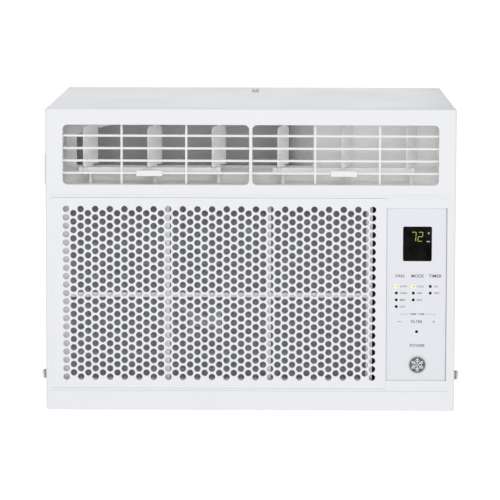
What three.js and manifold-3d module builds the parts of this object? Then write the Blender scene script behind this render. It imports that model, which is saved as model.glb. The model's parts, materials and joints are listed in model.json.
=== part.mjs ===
// A small window air conditioner of the 6,000 BTU/h class, in millimetres.
// +Z is up, the front (room side) faces -Y, and the origin is on the underside, at the middle of its outline.
import * as THREE from "three";
import { mergeVertices } from "three/addons/utils/BufferGeometryUtils.js";
import Module from "manifold-3d";

const wasm = await Module();
wasm.setup();

// ---- Driving dimensions -------------------------------------------------------------------------

const WIDTH = 470; // across the front frame, without the side screws
const HEIGHT = 348;
const DEPTH = 400;
const FRONT = -DEPTH / 2; // y of the front face
const BACK = DEPTH / 2;
const HALF = WIDTH / 2;

const SKIN = 2.5; // moulded wall of the front frame
const FRAME_DEPTH = 40; // how far the front frame wraps back at the top and sides
const CHIN_DEPTH = 16; // and underneath, where the base pan starts
const STEEL = 1.2; // sheet steel of the cabinet, base pan and rear guard
const FIT = 0.3; // gap between neighbouring pieces

// Air outlet: two windows side by side, crossed by fixed bars
const OUTLET = { side: 215, post: 1.9, low: 260.7, high: 329.3, corner: 5.5 };
const BAR_LEVELS = [273.7, 287.9, 302.1, 316.5];
const BAR = 2.5;
const DIVIDERS = [73.8, 147.8];
const BAR_FRONT = 4.2; // the bars stand this far behind the front face
const BAR_BACK = 10;
const DUCT_RISE = { start: 34, level: 276 }; // behind the louvres the duct's floor slopes up to this level
const CHIMNEY = { left: -205, right: 72, top: 333 }; // the blower housing's way up to the duct

// Vertical louvres: three on a link bar in each window
const LOUVRE_PITCH = 73.9;
const LOUVRE_FIRST = 37; // first pivot, from the centre line
const PIVOT_Y = FRONT + 30;
const CHORD = 30;
const CRANK = 10.4; // pivot to link pin
const REST_ANGLE = { left: 30, right: 24 }; // degrees that each bank is turned towards -X
const BLADE = { low: 281.4, high: 326.4, thick: 1.6, corner: 6 };
const LINK = { low: 271.2, high: 279, overhang: 7.7, thick: 2.2 };
const TAB = { wide: 30, low: 270.4, high: 276.8, reach: 19.6, thick: 1.4 };

// Air inlet
const INLET = { left: -228.5, right: 155.9, low: 25.7, high: 245.7, thick: 2.2, flange: 7 };
const CATCHES = [-140, 60];
const HOLES = { first: -211.6, pitch: 8.37, columns: 43, low: 35.1, high: 236.1, wide: 6.2 };

// Filter, which slides out through a slot in the left side of the frame
const FILTER = { left: -234.6, edge: -214, right: 140.2, low: 28, high: 243, front: 10.5, back: 15 };
const FILTER_BAR = 7.2;
const FILTER_RIBS = [-95.2, 20.9];
const FILTER_RIB_LEVEL = 132.6;
const FILTER_RIB = 5.3;

// Shallow grooves run across the frame, over and under the inlet
const GROOVE = { left: -228.5, right: 230, low: 22.8, high: 249.3, deep: 0.8 };

// Control panel
const PANEL = { left: 156.4, right: 225, low: 34.8, high: 235, recess: 1.3, thick: 1 };
const DISPLAY = { left: 174.8, right: 207.8, low: 173.6, high: 213.4 };
const KEYS = {
  fan_key: [171.5, 156.5],
  mode_key: [191.7, 156.5],
  timer_key: [212, 156.5],
  minus_key: [171.6, 103.6],
  filter_key: [191.2, 103.6],
  plus_key: [210.8, 103.6],
  power_key: [192, 75.9],
};
const KEY = { wide: 17.2, high: 8.4, stem: 2 };
const LAMP_LEVELS = [144.4, 136.7, 128.8, 121];
const LAMP_COLUMNS = { 167.5: 4, 187: 3, 206.4: 2 }; // x of a column and how many lamps it holds
const LAMP = 1.4;
const FILTER_LAMP = [191.1, 92];
const BADGE = { x: 192.2, z: 53.6, radius: 10.2 };

// Screws that hold the front frame's sides to the base pan's ears
const SIDE_SCREW = { back: 26, z: 38.2, washer: 5.6, head: 5.2, height: 6.1 };

// Refrigeration and air-moving parts
const EVAPORATOR = { left: -212, right: 138, low: 30, high: 246, front: 22, back: 58 };
const CONDENSER = { side: 214, low: 14, high: 330, front: 340, back: 374 };
const ROTOR = { x: -50, z: 140 };
const BLOWER_RADIUS = 78;
const FAN_RADIUS = 105;
const COMPRESSOR = { x: 150, y: 235, radius: 50, low: 28, high: 226 };
const FOOT_CIRCLE = 64;

// ---- Making solids ------------------------------------------------------------------------------

// y measured back from the front face, as most parts are placed
const fromFront = (y) => FRONT + y;

function toSolid(geometry) {
  const bare = geometry.index ? geometry.toNonIndexed() : geometry.clone();
  bare.deleteAttribute("normal");
  bare.deleteAttribute("uv");
  const merged = mergeVertices(bare, 1e-3);
  return new wasm.Manifold(
    new wasm.Mesh({
      numProp: 3,
      vertProperties: merged.attributes.position.array,
      triVerts: new Uint32Array(merged.index.array),
    }),
  );
}

function toGeometry(solid) {
  const mesh = solid.getMesh();
  const geometry = new THREE.BufferGeometry();
  geometry.setAttribute("position", new THREE.BufferAttribute(new Float32Array(mesh.vertProperties), 3));
  geometry.setIndex(new THREE.BufferAttribute(new Uint32Array(mesh.triVerts), 1));
  return geometry;
}

const join = (...geometries) => toGeometry(geometries.map(toSolid).reduce((a, b) => a.add(b)));
const cut = (body, ...tools) =>
  toGeometry(tools.map(toSolid).reduce((left, tool) => left.subtract(tool), toSolid(body)));

function box(x0, x1, y0, y1, z0, z1) {
  const made = new THREE.BoxGeometry(x1 - x0, y1 - y0, z1 - z0);
  return made.translate((x0 + x1) / 2, (y0 + y1) / 2, (z0 + z1) / 2);
}

// Prisms: a shape drawn in (x, z), (y, z) or (x, y), pushed along the third axis
const flat = (depth, curveSegments = 4) => ({ depth, bevelEnabled: false, curveSegments });

function prismY(shape, y0, y1) {
  return new THREE.ExtrudeGeometry(shape, flat(y1 - y0)).rotateX(Math.PI / 2).translate(0, y1, 0);
}

function prismX(shape, x0, x1) {
  const turn = new THREE.Matrix4().makeBasis(
    new THREE.Vector3(0, 1, 0),
    new THREE.Vector3(0, 0, 1),
    new THREE.Vector3(1, 0, 0),
  );
  return new THREE.ExtrudeGeometry(shape, flat(x1 - x0)).applyMatrix4(turn).translate(x0, 0, 0);
}

const prismZ = (shape, z0, z1) => new THREE.ExtrudeGeometry(shape, flat(z1 - z0)).translate(0, 0, z0);

function rectangle(x0, x1, z0, z1, Kind = THREE.Shape) {
  const shape = new Kind();
  shape.moveTo(x0, z0);
  shape.lineTo(x1, z0);
  shape.lineTo(x1, z1);
  shape.lineTo(x0, z1);
  shape.closePath();
  return shape;
}

function rounded(x0, x1, z0, z1, r, Kind = THREE.Shape) {
  const shape = new Kind();
  shape.moveTo(x0 + r, z0);
  shape.absarc(x1 - r, z0 + r, r, -Math.PI / 2, 0);
  shape.absarc(x1 - r, z1 - r, r, 0, Math.PI / 2);
  shape.absarc(x0 + r, z1 - r, r, Math.PI / 2, Math.PI);
  shape.absarc(x0 + r, z0 + r, r, Math.PI, Math.PI * 1.5);
  return shape;
}

// An upright plate between y0 and y1, cut through by rectangular openings [x0, x1, z0, z1]
function pierced([x0, x1, z0, z1], y0, y1, openings) {
  const tools = openings.map(([a, b, low, high]) => box(a, b, y0 - 1, y1 + 1, low, high));
  return cut(box(x0, x1, y0, y1, z0, z1), ...tools);
}

function polygon(points, Kind = THREE.Shape) {
  return new Kind(points.map(([x, y]) => new THREE.Vector2(x, y)));
}

function ring(x, y, radius, sides = 24, Kind = THREE.Shape) {
  const points = [];
  for (let i = 0; i < sides; i++) {
    const a = (i * 2 * Math.PI) / sides;
    points.push([x + radius * Math.cos(a), y + radius * Math.sin(a)]);
  }
  return polygon(points, Kind);
}

const holeAt = (x, y, radius, sides) => ring(x, y, radius, sides, THREE.Path);

function withHoles(shape, ...holes) {
  shape.holes.push(...holes);
  return shape;
}

// A turned piece about Z; its profile [radius, z] starts and ends on the axis or closes on itself
function turned(profile, segments = 20) {
  return new THREE.LatheGeometry(
    profile.map(([r, z]) => new THREE.Vector2(r, z)),
    segments,
  ).rotateX(Math.PI / 2);
}

const turnedY = (profile, x, z, segments) =>
  turned(profile, segments).rotateX(-Math.PI / 2).translate(x, 0, z);
const turnedX = (profile, y, z, segments) =>
  turned(profile, segments).rotateY(Math.PI / 2).translate(0, y, z);

function tube(points, radius, steps = 18, sides = 6) {
  const path = new THREE.CatmullRomCurve3(
    points.map((p) => new THREE.Vector3(...p)),
    false,
    "centripetal",
  );
  const section = ring(0, 0, radius, sides);
  return new THREE.ExtrudeGeometry(section, { steps, bevelEnabled: false, extrudePath: path });
}

// ---- Materials ----------------------------------------------------------------------------------

const finish = (color, roughness, metalness = 0) =>
  new THREE.MeshStandardMaterial({ color, roughness, metalness });
const WHITE = finish(0xeceef0, 0.45);
const PALE = finish(0xdcdedd, 0.5);
const PAINTED = finish(0xe6e8ea, 0.4);
const PANEL_FILM = finish(0xe7eaee, 0.35);
const BLACK = finish(0x0c0d0e, 0.15);
const GREY = finish(0x6c6f72, 0.5);
const MESH = finish(0x5a5d60, 0.7);
const ZINC = finish(0xb9bbbd, 0.35, 0.9);
const GALVANISED = finish(0xaeb3b6, 0.45, 0.8);
const FINS = finish(0xc6c9cb, 0.4, 0.8);
const COPPER = finish(0xb87048, 0.35, 0.9);
const ENAMEL = finish(0x1b1d1f, 0.35, 0.2);
const RUBBER = finish(0x1e1f20, 0.85);
const FOAM = finish(0xf2f2f0, 0.9);
const BOARD = finish(0x3f7a4a, 0.6);
const LENS = finish(0x22251e, 0.2);

const root = new THREE.Group();

function add(name, geometry, material, parent = root) {
  const mesh = new THREE.Mesh(geometry, material);
  mesh.name = name;
  parent.add(mesh);
  return mesh;
}

// ---- Front frame --------------------------------------------------------------------------------

const windowShape = (side, Kind) => {
  const [a, b] = side < 0 ? [-OUTLET.side, -OUTLET.post] : [OUTLET.post, OUTLET.side];
  return rounded(a, b, OUTLET.low, OUTLET.high, OUTLET.corner, Kind);
};

function frontFrame() {
  const outline = () => rounded(-HALF, HALF, 0, HEIGHT, 2.2);
  const face = prismY(
    withHoles(outline(), windowShape(-1, THREE.Path), windowShape(1, THREE.Path)),
    FRONT,
    fromFront(SKIN),
  );
  const inner = rounded(-HALF + SKIN, HALF - SKIN, SKIN, HEIGHT - SKIN, 1.5, THREE.Path);
  const rim = cut(
    prismY(withHoles(outline(), inner), FRONT, fromFront(FRAME_DEPTH)),
    box(-HALF + SKIN, HALF - SKIN, fromFront(CHIN_DEPTH), fromFront(FRAME_DEPTH + 1), -1, SKIN + 1),
  );
  const through = [fromFront(-1), fromFront(SKIN + 1)];
  const inletHole = box(INLET.left - FIT, INLET.right + FIT, ...through, INLET.low - FIT, INLET.high + FIT);
  const { left, right, low, high } = PANEL;
  const panelHole = box(INLET.right - 1, right, ...through, low, high);
  // A ledge behind the panel opening carries the film, and reaches the face above and below the inlet.
  const ledgeHole = rectangle(left + 4, right - 3.5, low + 3.5, high - 3.5, THREE.Path);
  const ledge = prismY(
    withHoles(rectangle(left - 5, right + 3, 20, 252), ledgeHole),
    fromFront(SKIN),
    fromFront(SKIN + 2),
  );
  const filterSlot = box(-HALF - 1, -HALF + SKIN + 1, fromFront(9.3), fromFront(16.4), 26, 245);
  const screwHoles = [-1, 1].map((s) => crossHole(2.6, s * (HALF - SKIN / 2), 8));
  const grooves = [
    [GROOVE.low, INLET.low],
    [INLET.high, GROOVE.high],
  ].map(([z0, z1]) => box(GROOVE.left, GROOVE.right, fromFront(-1), fromFront(GROOVE.deep), z0, z1));
  const shell = cut(join(face, rim), inletHole, panelHole);
  return cut(join(shell, ledge), filterSlot, ...grooves, ...screwHoles);
}

// A hole along X for a side screw
function crossHole(radius, x, length) {
  return prismX(ring(fromFront(SIDE_SCREW.back), SIDE_SCREW.z, radius, 12), x - length / 2, x + length / 2);
}

function inletGrille() {
  const { left, right, low, high, thick } = INLET;
  const slots = [];
  for (let i = 0; i < HOLES.columns; i++) {
    const x = HOLES.first + i * HOLES.pitch;
    slots.push([x - HOLES.wide / 2, x + HOLES.wide / 2, HOLES.low, HOLES.high]);
  }
  const sheet = pierced([left, right, low, high], FRONT, fromFront(thick), slots);
  // Stiffening flanges along the back, the right one set in to pass the ledge, and two catches at the top
  const inset = 0.2;
  const flange = 1.6;
  const y = [fromFront(thick - 0.2), fromFront(INLET.flange)];
  const rib = right - 6;
  const flanges = [
    box(left + inset, left + inset + flange, ...y, low + 1, high - 1),
    box(rib - flange, rib, ...y, low + 1, high - 1),
    box(left + 1, rib - 1, ...y, low + inset, low + inset + flange),
    box(left + 1, rib - 1, ...y, high - inset - flange, high - inset),
  ];
  const catches = CATCHES.map((x) => box(x - 6, x + 6, fromFront(6), fromFront(9), high - 6.5, high - 0.5));
  return join(sheet, ...flanges, ...catches);
}

function outletGrille() {
  const margin = 4;
  const across = [-OUTLET.side, -DIVIDERS[1], -DIVIDERS[0], 0, DIVIDERS[0], DIVIDERS[1], OUTLET.side];
  const halves = [0, BAR / 2, BAR / 2, OUTLET.post, BAR / 2, BAR / 2, 0];
  const up = [OUTLET.low, ...BAR_LEVELS, OUTLET.high];
  const openings = [];
  for (let i = 0; i < across.length - 1; i++) {
    for (let j = 0; j < up.length - 1; j++) {
      const low = up[j] + (j ? BAR / 2 : 0);
      const high = up[j + 1] - (j < BAR_LEVELS.length ? BAR / 2 : 0);
      openings.push([across[i] + halves[i], across[i + 1] - halves[i + 1], low, high]);
    }
  }
  const outline = [-OUTLET.side - margin, OUTLET.side + margin, OUTLET.low - 3, OUTLET.high + margin];
  return pierced(outline, fromFront(BAR_FRONT), fromFront(BAR_BACK), openings);
}

add("front_frame", frontFrame(), WHITE);
add("inlet_grille", inletGrille(), WHITE);
add("outlet_grille", outletGrille(), WHITE);
add("release_tab", box(-HALF - 1.2, -HALF - 0.1, fromFront(4), fromFront(18), 259.5, 294.5), WHITE);

// ---- Air outlet: duct, louvres and link bars ----------------------------------------------------

function outletDuct() {
  const wall = 3;
  const side = OUTLET.side + 3;
  const low = OUTLET.low - 3.3;
  const high = OUTLET.high + 4.3;
  const { start, level } = DUCT_RISE;
  const bore = rectangle(-side + wall, side - wall, low + wall, high - wall, THREE.Path);
  const tunnel = prismY(withHoles(rectangle(-side, side, low, high), bore), fromFront(10.3), fromFront(68));
  // The back wall is closed on the right and open on the left, where the blower housing joins it.
  const mouth = rectangle(CHIMNEY.left, CHIMNEY.right, level, high - wall, THREE.Path);
  const backWall = prismY(
    withHoles(rectangle(-side, side, low, high), mouth),
    fromFront(65.5),
    fromFront(68),
  );
  const rise = prismX(
    polygon([
      [fromFront(start), low + wall - 1],
      [fromFront(67), low + wall - 1],
      [fromFront(67), level],
      [fromFront(start), low + wall],
    ]),
    -side + 1,
    side - 1,
  );
  const sockets = louvrePivots().map(({ x }) => prismZ(ring(x, PIVOT_Y, 2.6, 8), low - 1, high + 1));
  return cut(join(tunnel, backWall, rise), ...sockets);
}

// Pivots from left to right: three in the left window, then three in the right one
function louvrePivots() {
  const pivots = [];
  for (let i = 0; i < 6; i++) {
    const side = i < 3 ? -1 : 1;
    const step = side < 0 ? 2 - i : i - 3;
    pivots.push({ x: side * (LOUVRE_FIRST + step * LOUVRE_PITCH), side: side < 0 ? "left" : "right" });
  }
  return pivots;
}

// One louvre about its own pivot, pointing straight ahead along -Y
function louvre() {
  const half = CHORD / 2;
  const { low, high, thick, corner } = BLADE;
  const outline = new THREE.Shape();
  outline.moveTo(-half, low);
  outline.lineTo(half, low);
  outline.absarc(half - corner, high - corner, corner, 0, Math.PI / 2);
  outline.absarc(-half + corner, high - corner, corner, Math.PI / 2, Math.PI);
  const blade = prismX(outline, -thick / 2, thick / 2);
  const foot = prismZ(ring(0, 0, 2.1, 8), OUTLET.low - 2.6, low + 1);
  const crown = prismZ(ring(0, 0, 2, 8), high - 1, OUTLET.high + 3);
  const arm = prismZ(rectangle(-2.2, 2.2, -CRANK - 2.2, 2.2), LINK.high + 0.4, low + 0.4);
  const pin = prismZ(ring(0, -CRANK, 1.4, 6), LINK.low - 0.8, LINK.high + 1);
  return join(blade, foot, crown, arm, pin);
}

// The link bar of three louvres, about the middle pin, with the finger tab in front of the lowest bar
function linkBar() {
  const reach = LOUVRE_PITCH + LINK.overhang;
  const half = LINK.thick / 2;
  const strip = rectangle(-reach, reach, -half, half);
  const bosses = [-1, 0, 1].map((i) => prismZ(ring(i * LOUVRE_PITCH, 0, 3.3, 10), LINK.low, LINK.high));
  const bores = [-1, 0, 1].map((i) =>
    prismZ(ring(i * LOUVRE_PITCH, 0, 1.8, 8), LINK.low - 1, LINK.high + 1),
  );
  const neck = box(-8, 8, -TAB.reach + 0.5, -half + 0.2, TAB.high - 1.4, TAB.high);
  const tab = box(-TAB.wide / 2, TAB.wide / 2, -TAB.reach, -TAB.reach + TAB.thick, TAB.low, TAB.high);
  return cut(join(prismZ(strip, LINK.low, LINK.high), ...bosses, neck, tab), ...bores);
}

add("outlet_duct", outletDuct(), PALE);
louvrePivots().forEach(({ x, side }, i) => {
  const turn = -THREE.MathUtils.degToRad(REST_ANGLE[side]);
  const mesh = add(`louvre_${i + 1}`, louvre(), PALE);
  mesh.position.set(x, PIVOT_Y, 0);
  mesh.rotation.z = turn;
});
for (const side of ["left", "right"]) {
  const angle = THREE.MathUtils.degToRad(REST_ANGLE[side]);
  const middle = (side === "left" ? -1 : 1) * (LOUVRE_FIRST + LOUVRE_PITCH);
  const bar = add(`link_bar_${side}`, linkBar(), WHITE);
  bar.position.set(middle - CRANK * Math.sin(angle), PIVOT_Y - CRANK * Math.cos(angle), 0);
}

// ---- Filter -------------------------------------------------------------------------------------

function filterFrame() {
  const { left, edge, right, low, high, front, back } = FILTER;
  const rim = withHoles(
    rectangle(edge, right, low, high),
    rectangle(edge + FILTER_BAR, right - FILTER_BAR, low + FILTER_BAR, high - FILTER_BAR, THREE.Path),
  );
  const half = FILTER_RIB / 2;
  const frame = prismY(rim, fromFront(front), fromFront(back));
  const deep = [fromFront(front), fromFront(13.6)];
  const ribs = FILTER_RIBS.map((x) => box(x - half, x + half, ...deep, low + 1, high - 1));
  const level = box(edge + 1, right - 1, ...deep, FILTER_RIB_LEVEL - half, FILTER_RIB_LEVEL + half);
  const pull = box(left, edge + 1, fromFront(front), fromFront(back), low, high);
  const grip = box(left - 1, left + 9, fromFront(front - 1), fromFront(front + 2.2), 120, 150);
  return cut(join(frame, ...ribs, level, pull), grip);
}

const meshMargin = FILTER_BAR + FIT;
add("filter_frame", filterFrame(), PALE);
add("filter_mesh", box(FILTER.edge + meshMargin, FILTER.right - meshMargin, fromFront(14), fromFront(14.6),
  FILTER.low + meshMargin, FILTER.high - meshMargin), MESH);

// ---- Control panel ------------------------------------------------------------------------------

function lamps() {
  const columns = Object.entries(LAMP_COLUMNS);
  return columns.flatMap(([x, count]) => LAMP_LEVELS.slice(0, count).map((z) => [Number(x), z]));
}

const panelFront = fromFront(PANEL.recess);
const panelBack = fromFront(PANEL.recess + PANEL.thick);

function controlFilm() {
  const keyHoles = Object.values(KEYS).map(([x, z]) => [
    x - KEY.wide / 2 - FIT,
    x + KEY.wide / 2 + FIT,
    z - KEY.high / 2 - FIT,
    z + KEY.high / 2 + FIT,
  ]);
  const outline = [PANEL.left + FIT, PANEL.right - FIT, PANEL.low + FIT, PANEL.high - FIT];
  const lampHoles = [...lamps(), FILTER_LAMP].map(([x, z]) =>
    prismY(ring(x, z, LAMP, 6), panelFront - 1, panelBack + 1),
  );
  const { left, right, low, high } = DISPLAY;
  const glassHole = rounded(left - FIT, right + FIT, low - FIT, high + FIT, 2);
  return cut(pierced(outline, panelFront, panelBack, keyHoles), ...lampHoles,
    prismY(glassHole, panelFront - 1, panelBack + 1));
}

function key(x, z) {
  const wide = KEY.wide / 2;
  const high = KEY.high / 2;
  const cap = box(x - wide, x + wide, panelFront, panelBack, z - high, z + high);
  const stem = prismY(ring(x, z, KEY.stem, 8), panelBack - 0.3, fromFront(7.6));
  return join(cap, stem);
}

function lightGuide() {
  const pegs = lamps().map(([x, z]) => prismY(ring(x, z, LAMP - 0.25, 6), panelFront + 0.2, fromFront(6)));
  const web = box(165, 209, fromFront(5.6), fromFront(7.2), LAMP_LEVELS[3] - 2.5, LAMP_LEVELS[0] + 2.5);
  return join(web, ...pegs);
}

function controlBoard() {
  const plate = box(162, 220, fromFront(12), fromFront(13.6), 42, 229);
  const back = fromFront(12.2);
  const switches = Object.values(KEYS).map(([x, z]) => box(x - 3, x + 3, fromFront(8.6), back, z - 3, z + 3));
  const { left, right, low, high } = DISPLAY;
  const module = box(left + 1, right - 1, fromFront(4.6), back, low + 1, high - 1);
  return join(plate, module, ...switches);
}

function controlBox() {
  const outer = box(152.5, 226.5, fromFront(14.2), fromFront(70), 30, 240);
  return cut(outer, box(154.5, 224.5, fromFront(13), fromFront(68), 32, 238));
}

add("control_film", controlFilm(), PANEL_FILM);
add("display_window", prismY(rounded(DISPLAY.left, DISPLAY.right, DISPLAY.low, DISPLAY.high, 1.8),
  fromFront(1.1), fromFront(3.2)), BLACK);
add("light_guide", lightGuide(), LENS);
add("filter_lamp", prismY(ring(...FILTER_LAMP, LAMP - 0.25, 8), panelFront + 0.2, fromFront(11.7)), LENS);
for (const [name, [x, z]] of Object.entries(KEYS)) add(name, key(x, z), PANEL_FILM);
add("badge", prismY(ring(BADGE.x, BADGE.z, BADGE.radius, 24), fromFront(0.4), panelFront - 0.05), GREY);
add("control_board", controlBoard(), BOARD);
add("control_box", controlBox(), PALE);
add("run_capacitor", turned([[0, 40], [19, 40], [19, 104], [15, 108], [0, 108]], 16)
  .translate(189, fromFront(43), 0), ZINC);

// ---- Cabinet, base pan, rear guard and screws ---------------------------------------------------

function cabinet() {
  const side = HALF - 0.4;
  const top = HEIGHT - 0.4;
  const start = fromFront(FRAME_DEPTH + FIT);
  const outer = new THREE.Shape();
  const r = 1.6;
  outer.moveTo(-side, 3);
  outer.lineTo(-side + STEEL, 3);
  outer.absarc(-side + r, top - r, r - STEEL, Math.PI, Math.PI / 2, true);
  outer.absarc(side - r, top - r, r - STEEL, Math.PI / 2, 0, true);
  outer.lineTo(side - STEEL, 3);
  outer.lineTo(side, 3);
  outer.absarc(side - r, top - r, r, 0, Math.PI / 2);
  outer.absarc(-side + r, top - r, r, Math.PI / 2, Math.PI);
  const wrap = prismY(outer, start, BACK);
  // Louvred vents towards the back of both sides let outdoor air in to the condenser fan.
  const vents = [];
  for (const s of [-1, 1]) {
    for (const [y0, y1] of [[228, 278], [288, 326]]) {
      for (let i = 0; i < 7; i++) {
        const z = 70 + i * 32;
        const x = s * (side - STEEL / 2);
        vents.push(box(x - 2, x + 2, fromFront(y0), fromFront(y1), z, z + 7));
      }
    }
  }
  const glandHole = prismX(ring(fromFront(100), 60, 7.3, 12), side - 4, side + 2);
  const screwHole = prismZ(ring(2.5, fromFront(325), 2.3, 10), top - 4, top + 2);
  return cut(wrap, ...vents, glandHole, screwHole);
}

function basePan() {
  const side = HALF - 3.1;
  const front = fromFront(CHIN_DEPTH + FIT);
  const tray = cut(
    box(-side, side, front, BACK - 4, 0, 28),
    box(-side + STEEL, side - STEEL, front + STEEL, BACK - 4 - STEEL, STEEL, 40),
    prismZ(ring(-120, fromFront(250), 6.4, 12), -1, 4),
  );
  const middle = side - STEEL / 2;
  const ears = [-1, 1].map((s) =>
    cut(
      box(s * middle - STEEL / 2, s * middle + STEEL / 2, fromFront(19), fromFront(48), 16, 52),
      crossHole(2.3, s * side, 8),
    ),
  );
  return join(tray, ...ears);
}

function rearGuard() {
  const side = HALF - 2.4;
  const slots = [];
  for (const [x0, x1] of [[-214, -75], [-69, 69], [75, 214]]) {
    for (let i = 0; i < 11; i++) {
      const z = 42 + i * 26.2;
      slots.push([x0, x1, z, z + 20]);
    }
  }
  return pierced([-side, side, 29, HEIGHT - 2.4], BACK - 3, BACK - 3 + STEEL, slots);
}

// A pan-head screw with a washer face, its head resting on z = 0 and pointing up
function panScrew(washer, head, height, shank, length) {
  const dome = [[head, 1.4], [head * 0.86, height * 0.8], [0, height]];
  return turned([[0, -length], [shank, -length], [shank, 0], [washer, 0], [washer, 1.4], ...dome], 14);
}

add("cabinet", cabinet(), PAINTED);
add("base_pan", basePan(), GALVANISED);
add("rear_guard", rearGuard(), PAINTED);
for (const [name, s] of [["side_screw_left", -1], ["side_screw_right", 1]]) {
  const screw = add(name, panScrew(SIDE_SCREW.washer, SIDE_SCREW.head, SIDE_SCREW.height, 1.9, 7.5), ZINC);
  screw.rotation.y = (s * Math.PI) / 2;
  screw.position.set(s * (HALF + 0.2), fromFront(SIDE_SCREW.back), SIDE_SCREW.z);
}
const topScrew = add("top_screw", panScrew(4.4, 4, 4, 1.9, 7), ZINC);
topScrew.position.set(2.5, fromFront(325), HEIGHT - 0.2);

// ---- Cord gland, drain plug and room sensor -----------------------------------------------------

const glandProfile = [
  [4, -3.5], [8.6, -3.5], [8.6, -1.7], [6.9, -1.7], [6.9, 0.3], [8.8, 0.3], [7.6, 3], [4, 3], [4, -3.5],
];
add("cord_gland", turnedX(glandProfile, fromFront(100), 60, 14).translate(HALF - 0.4, 0, 0), RUBBER);
add("drain_plug", turned([[0, 0.3], [6, 0.3], [6, 1.5], [8, 1.5], [8, 4], [0, 4]], 12)
  .translate(-120, fromFront(250), 0), RUBBER);
const sensorClip = [
  [-71, 86], [-65.5, 86], [-65.5, 95.5], [-39, 95.5], [-39, 86], [-33.5, 86], [-33.5, 112], [-39, 112],
  [-39, 107.5], [-65.5, 107.5], [-65.5, 112], [-76, 120], [-80, 115.5], [-71, 108.5],
];
add("room_sensor", join(
  prismY(polygon(sensorClip), fromFront(16.2), fromFront(20.8)),
  box(-60, -45, fromFront(15.7), fromFront(16.8), 98, 105),
), FOAM);

// ---- Indoor air side: evaporator, orifice, blower and its housing -------------------------------

function coil({ left, right, low, high, front, back }) {
  const block = box(left + 3, right - 3, fromFront(front), fromFront(back), low, high);
  const across = [fromFront(front - 1), fromFront(back + 1)];
  const sheets = [left, right - 3].map((x) => box(x, x + 3.2, ...across, low, high));
  const middle = fromFront((front + back) / 2);
  const bends = [];
  for (let z = low + 18; z < high - 18; z += 50) {
    bends.push(box(left - 6, left + 0.5, middle - 4, middle + 4, z, z + 22));
  }
  return join(block, ...sheets, ...bends);
}

const rotorRing = (radius, sides, Kind) => ring(ROTOR.x, ROTOR.z, radius, sides, Kind);

// Outline of the blower housing: a spiral that widens clockwise from its tongue to a chimney up the left
function scrollOutline(grow) {
  const points = [];
  const tongue = 50 - grow;
  const sweep = 180 + tongue;
  for (let i = 0; i <= 12; i++) {
    const a = THREE.MathUtils.degToRad(tongue - (sweep * i) / 12);
    const r = 86 + (40 * i) / 12 + grow;
    points.push([ROTOR.x + r * Math.cos(a), ROTOR.z + r * Math.sin(a)]);
  }
  const left = CHIMNEY.left - grow;
  const right = CHIMNEY.right + grow;
  const top = CHIMNEY.top + grow;
  points.push([left, 262], [left, top], [right, top], [right, 258 - grow]);
  return points.reverse();
}

function airScroll() {
  const shape = withHoles(polygon(scrollOutline(4)), polygon(scrollOutline(0), THREE.Path));
  return prismY(shape, fromFront(68.5), fromFront(160));
}

// Wheels turn about an axis along Y; these profiles are [radius, distance along +Y]
function alongY(profile, segments) {
  const placed = profile.map(([radius, y]) => [radius, fromFront(y)]);
  return turnedY(placed, ROTOR.x, ROTOR.z, segments);
}

// A drum open at the front, with a lip round its mouth and a hub on its back plate
function blowerWheel() {
  const outer = [[62, 78], [BLOWER_RADIUS, 78], [BLOWER_RADIUS, 152], [14, 152], [14, 158], [5.1, 158]];
  const inner = [[5.1, 136], [14, 136], [14, 149], [74, 149], [74, 81], [62, 81], [62, 78]];
  return alongY([...outer, ...inner], 20);
}

function condenserFan() {
  const hub = alongY([[5.1, 296], [24, 296], [24, 322], [5.1, 322], [5.1, 296]], 16);
  const blades = [];
  for (let i = 0; i < 5; i++) {
    const blade = prismY(polygon([[-13, 18], [13, 18], [31, 95], [-22, 98]]), -1.2, 1.2);
    blade.rotateZ(THREE.MathUtils.degToRad(22));
    blade.translate(0, fromFront(309), 0);
    blade.rotateY((i * 2 * Math.PI) / 5);
    blades.push(blade.translate(ROTOR.x, 0, ROTOR.z));
  }
  const rim = FAN_RADIUS;
  const inner = rim - 14;
  const hoop = [
    [inner, 304], [rim, 304], [rim, 314], [rim - 3, 314], [rim - 3, 307], [inner, 307], [inner, 304],
  ];
  return join(hub, alongY(hoop, 20), ...blades);
}

add("evaporator_coil", coil(EVAPORATOR), FINS);
const orifice = withHoles(rectangle(-218, 138, 30, 256), rotorRing(60, 24, THREE.Path));
add("orifice_plate", prismY(orifice, fromFront(64), fromFront(67)), FOAM);
add("air_scroll", airScroll(), FOAM);
add("blower_wheel", blowerWheel(), PALE);

// ---- Bulkhead, motor and outdoor air side -------------------------------------------------------

const suctionHole = [204, 250];
const liquidHole = [216, 222];
const bulkhead = withHoles(
  rectangle(-229, 229, 29, 343),
  rotorRing(30, 16, THREE.Path),
  holeAt(...suctionHole, 8, 10),
  holeAt(...liquidHole, 5, 8),
);
add("bulkhead", prismY(bulkhead, fromFront(161), fromFront(162.5)), GALVANISED);
const motorProfile = [
  [5.15, 172], [22, 172], [30, 178], [44, 180], [44, 238], [30, 241], [20, 248], [5.15, 248], [5.15, 172],
];
add("fan_motor", alongY(motorProfile, 20), ENAMEL);
add("motor_shaft", alongY([[0, 130], [5, 130], [5, 330], [0, 330]], 10), ZINC);
const bracket = withHoles(
  polygon([[-95, STEEL + 0.3], [-5, STEEL + 0.3], [5, 120], [5, 195], [-105, 195], [-105, 120]]),
  rotorRing(45.5, 20, THREE.Path),
);
add("motor_bracket", join(
  prismY(bracket, fromFront(205), fromFront(207)),
  box(-95, -5, fromFront(205), fromFront(232), STEEL + 0.3, STEEL + 2.3),
), GALVANISED);
add("condenser_fan", condenserFan(), GREY);
const shroudPlate = withHoles(rectangle(-229, 229, 12, 343), rotorRing(110, 28, THREE.Path));
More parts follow.
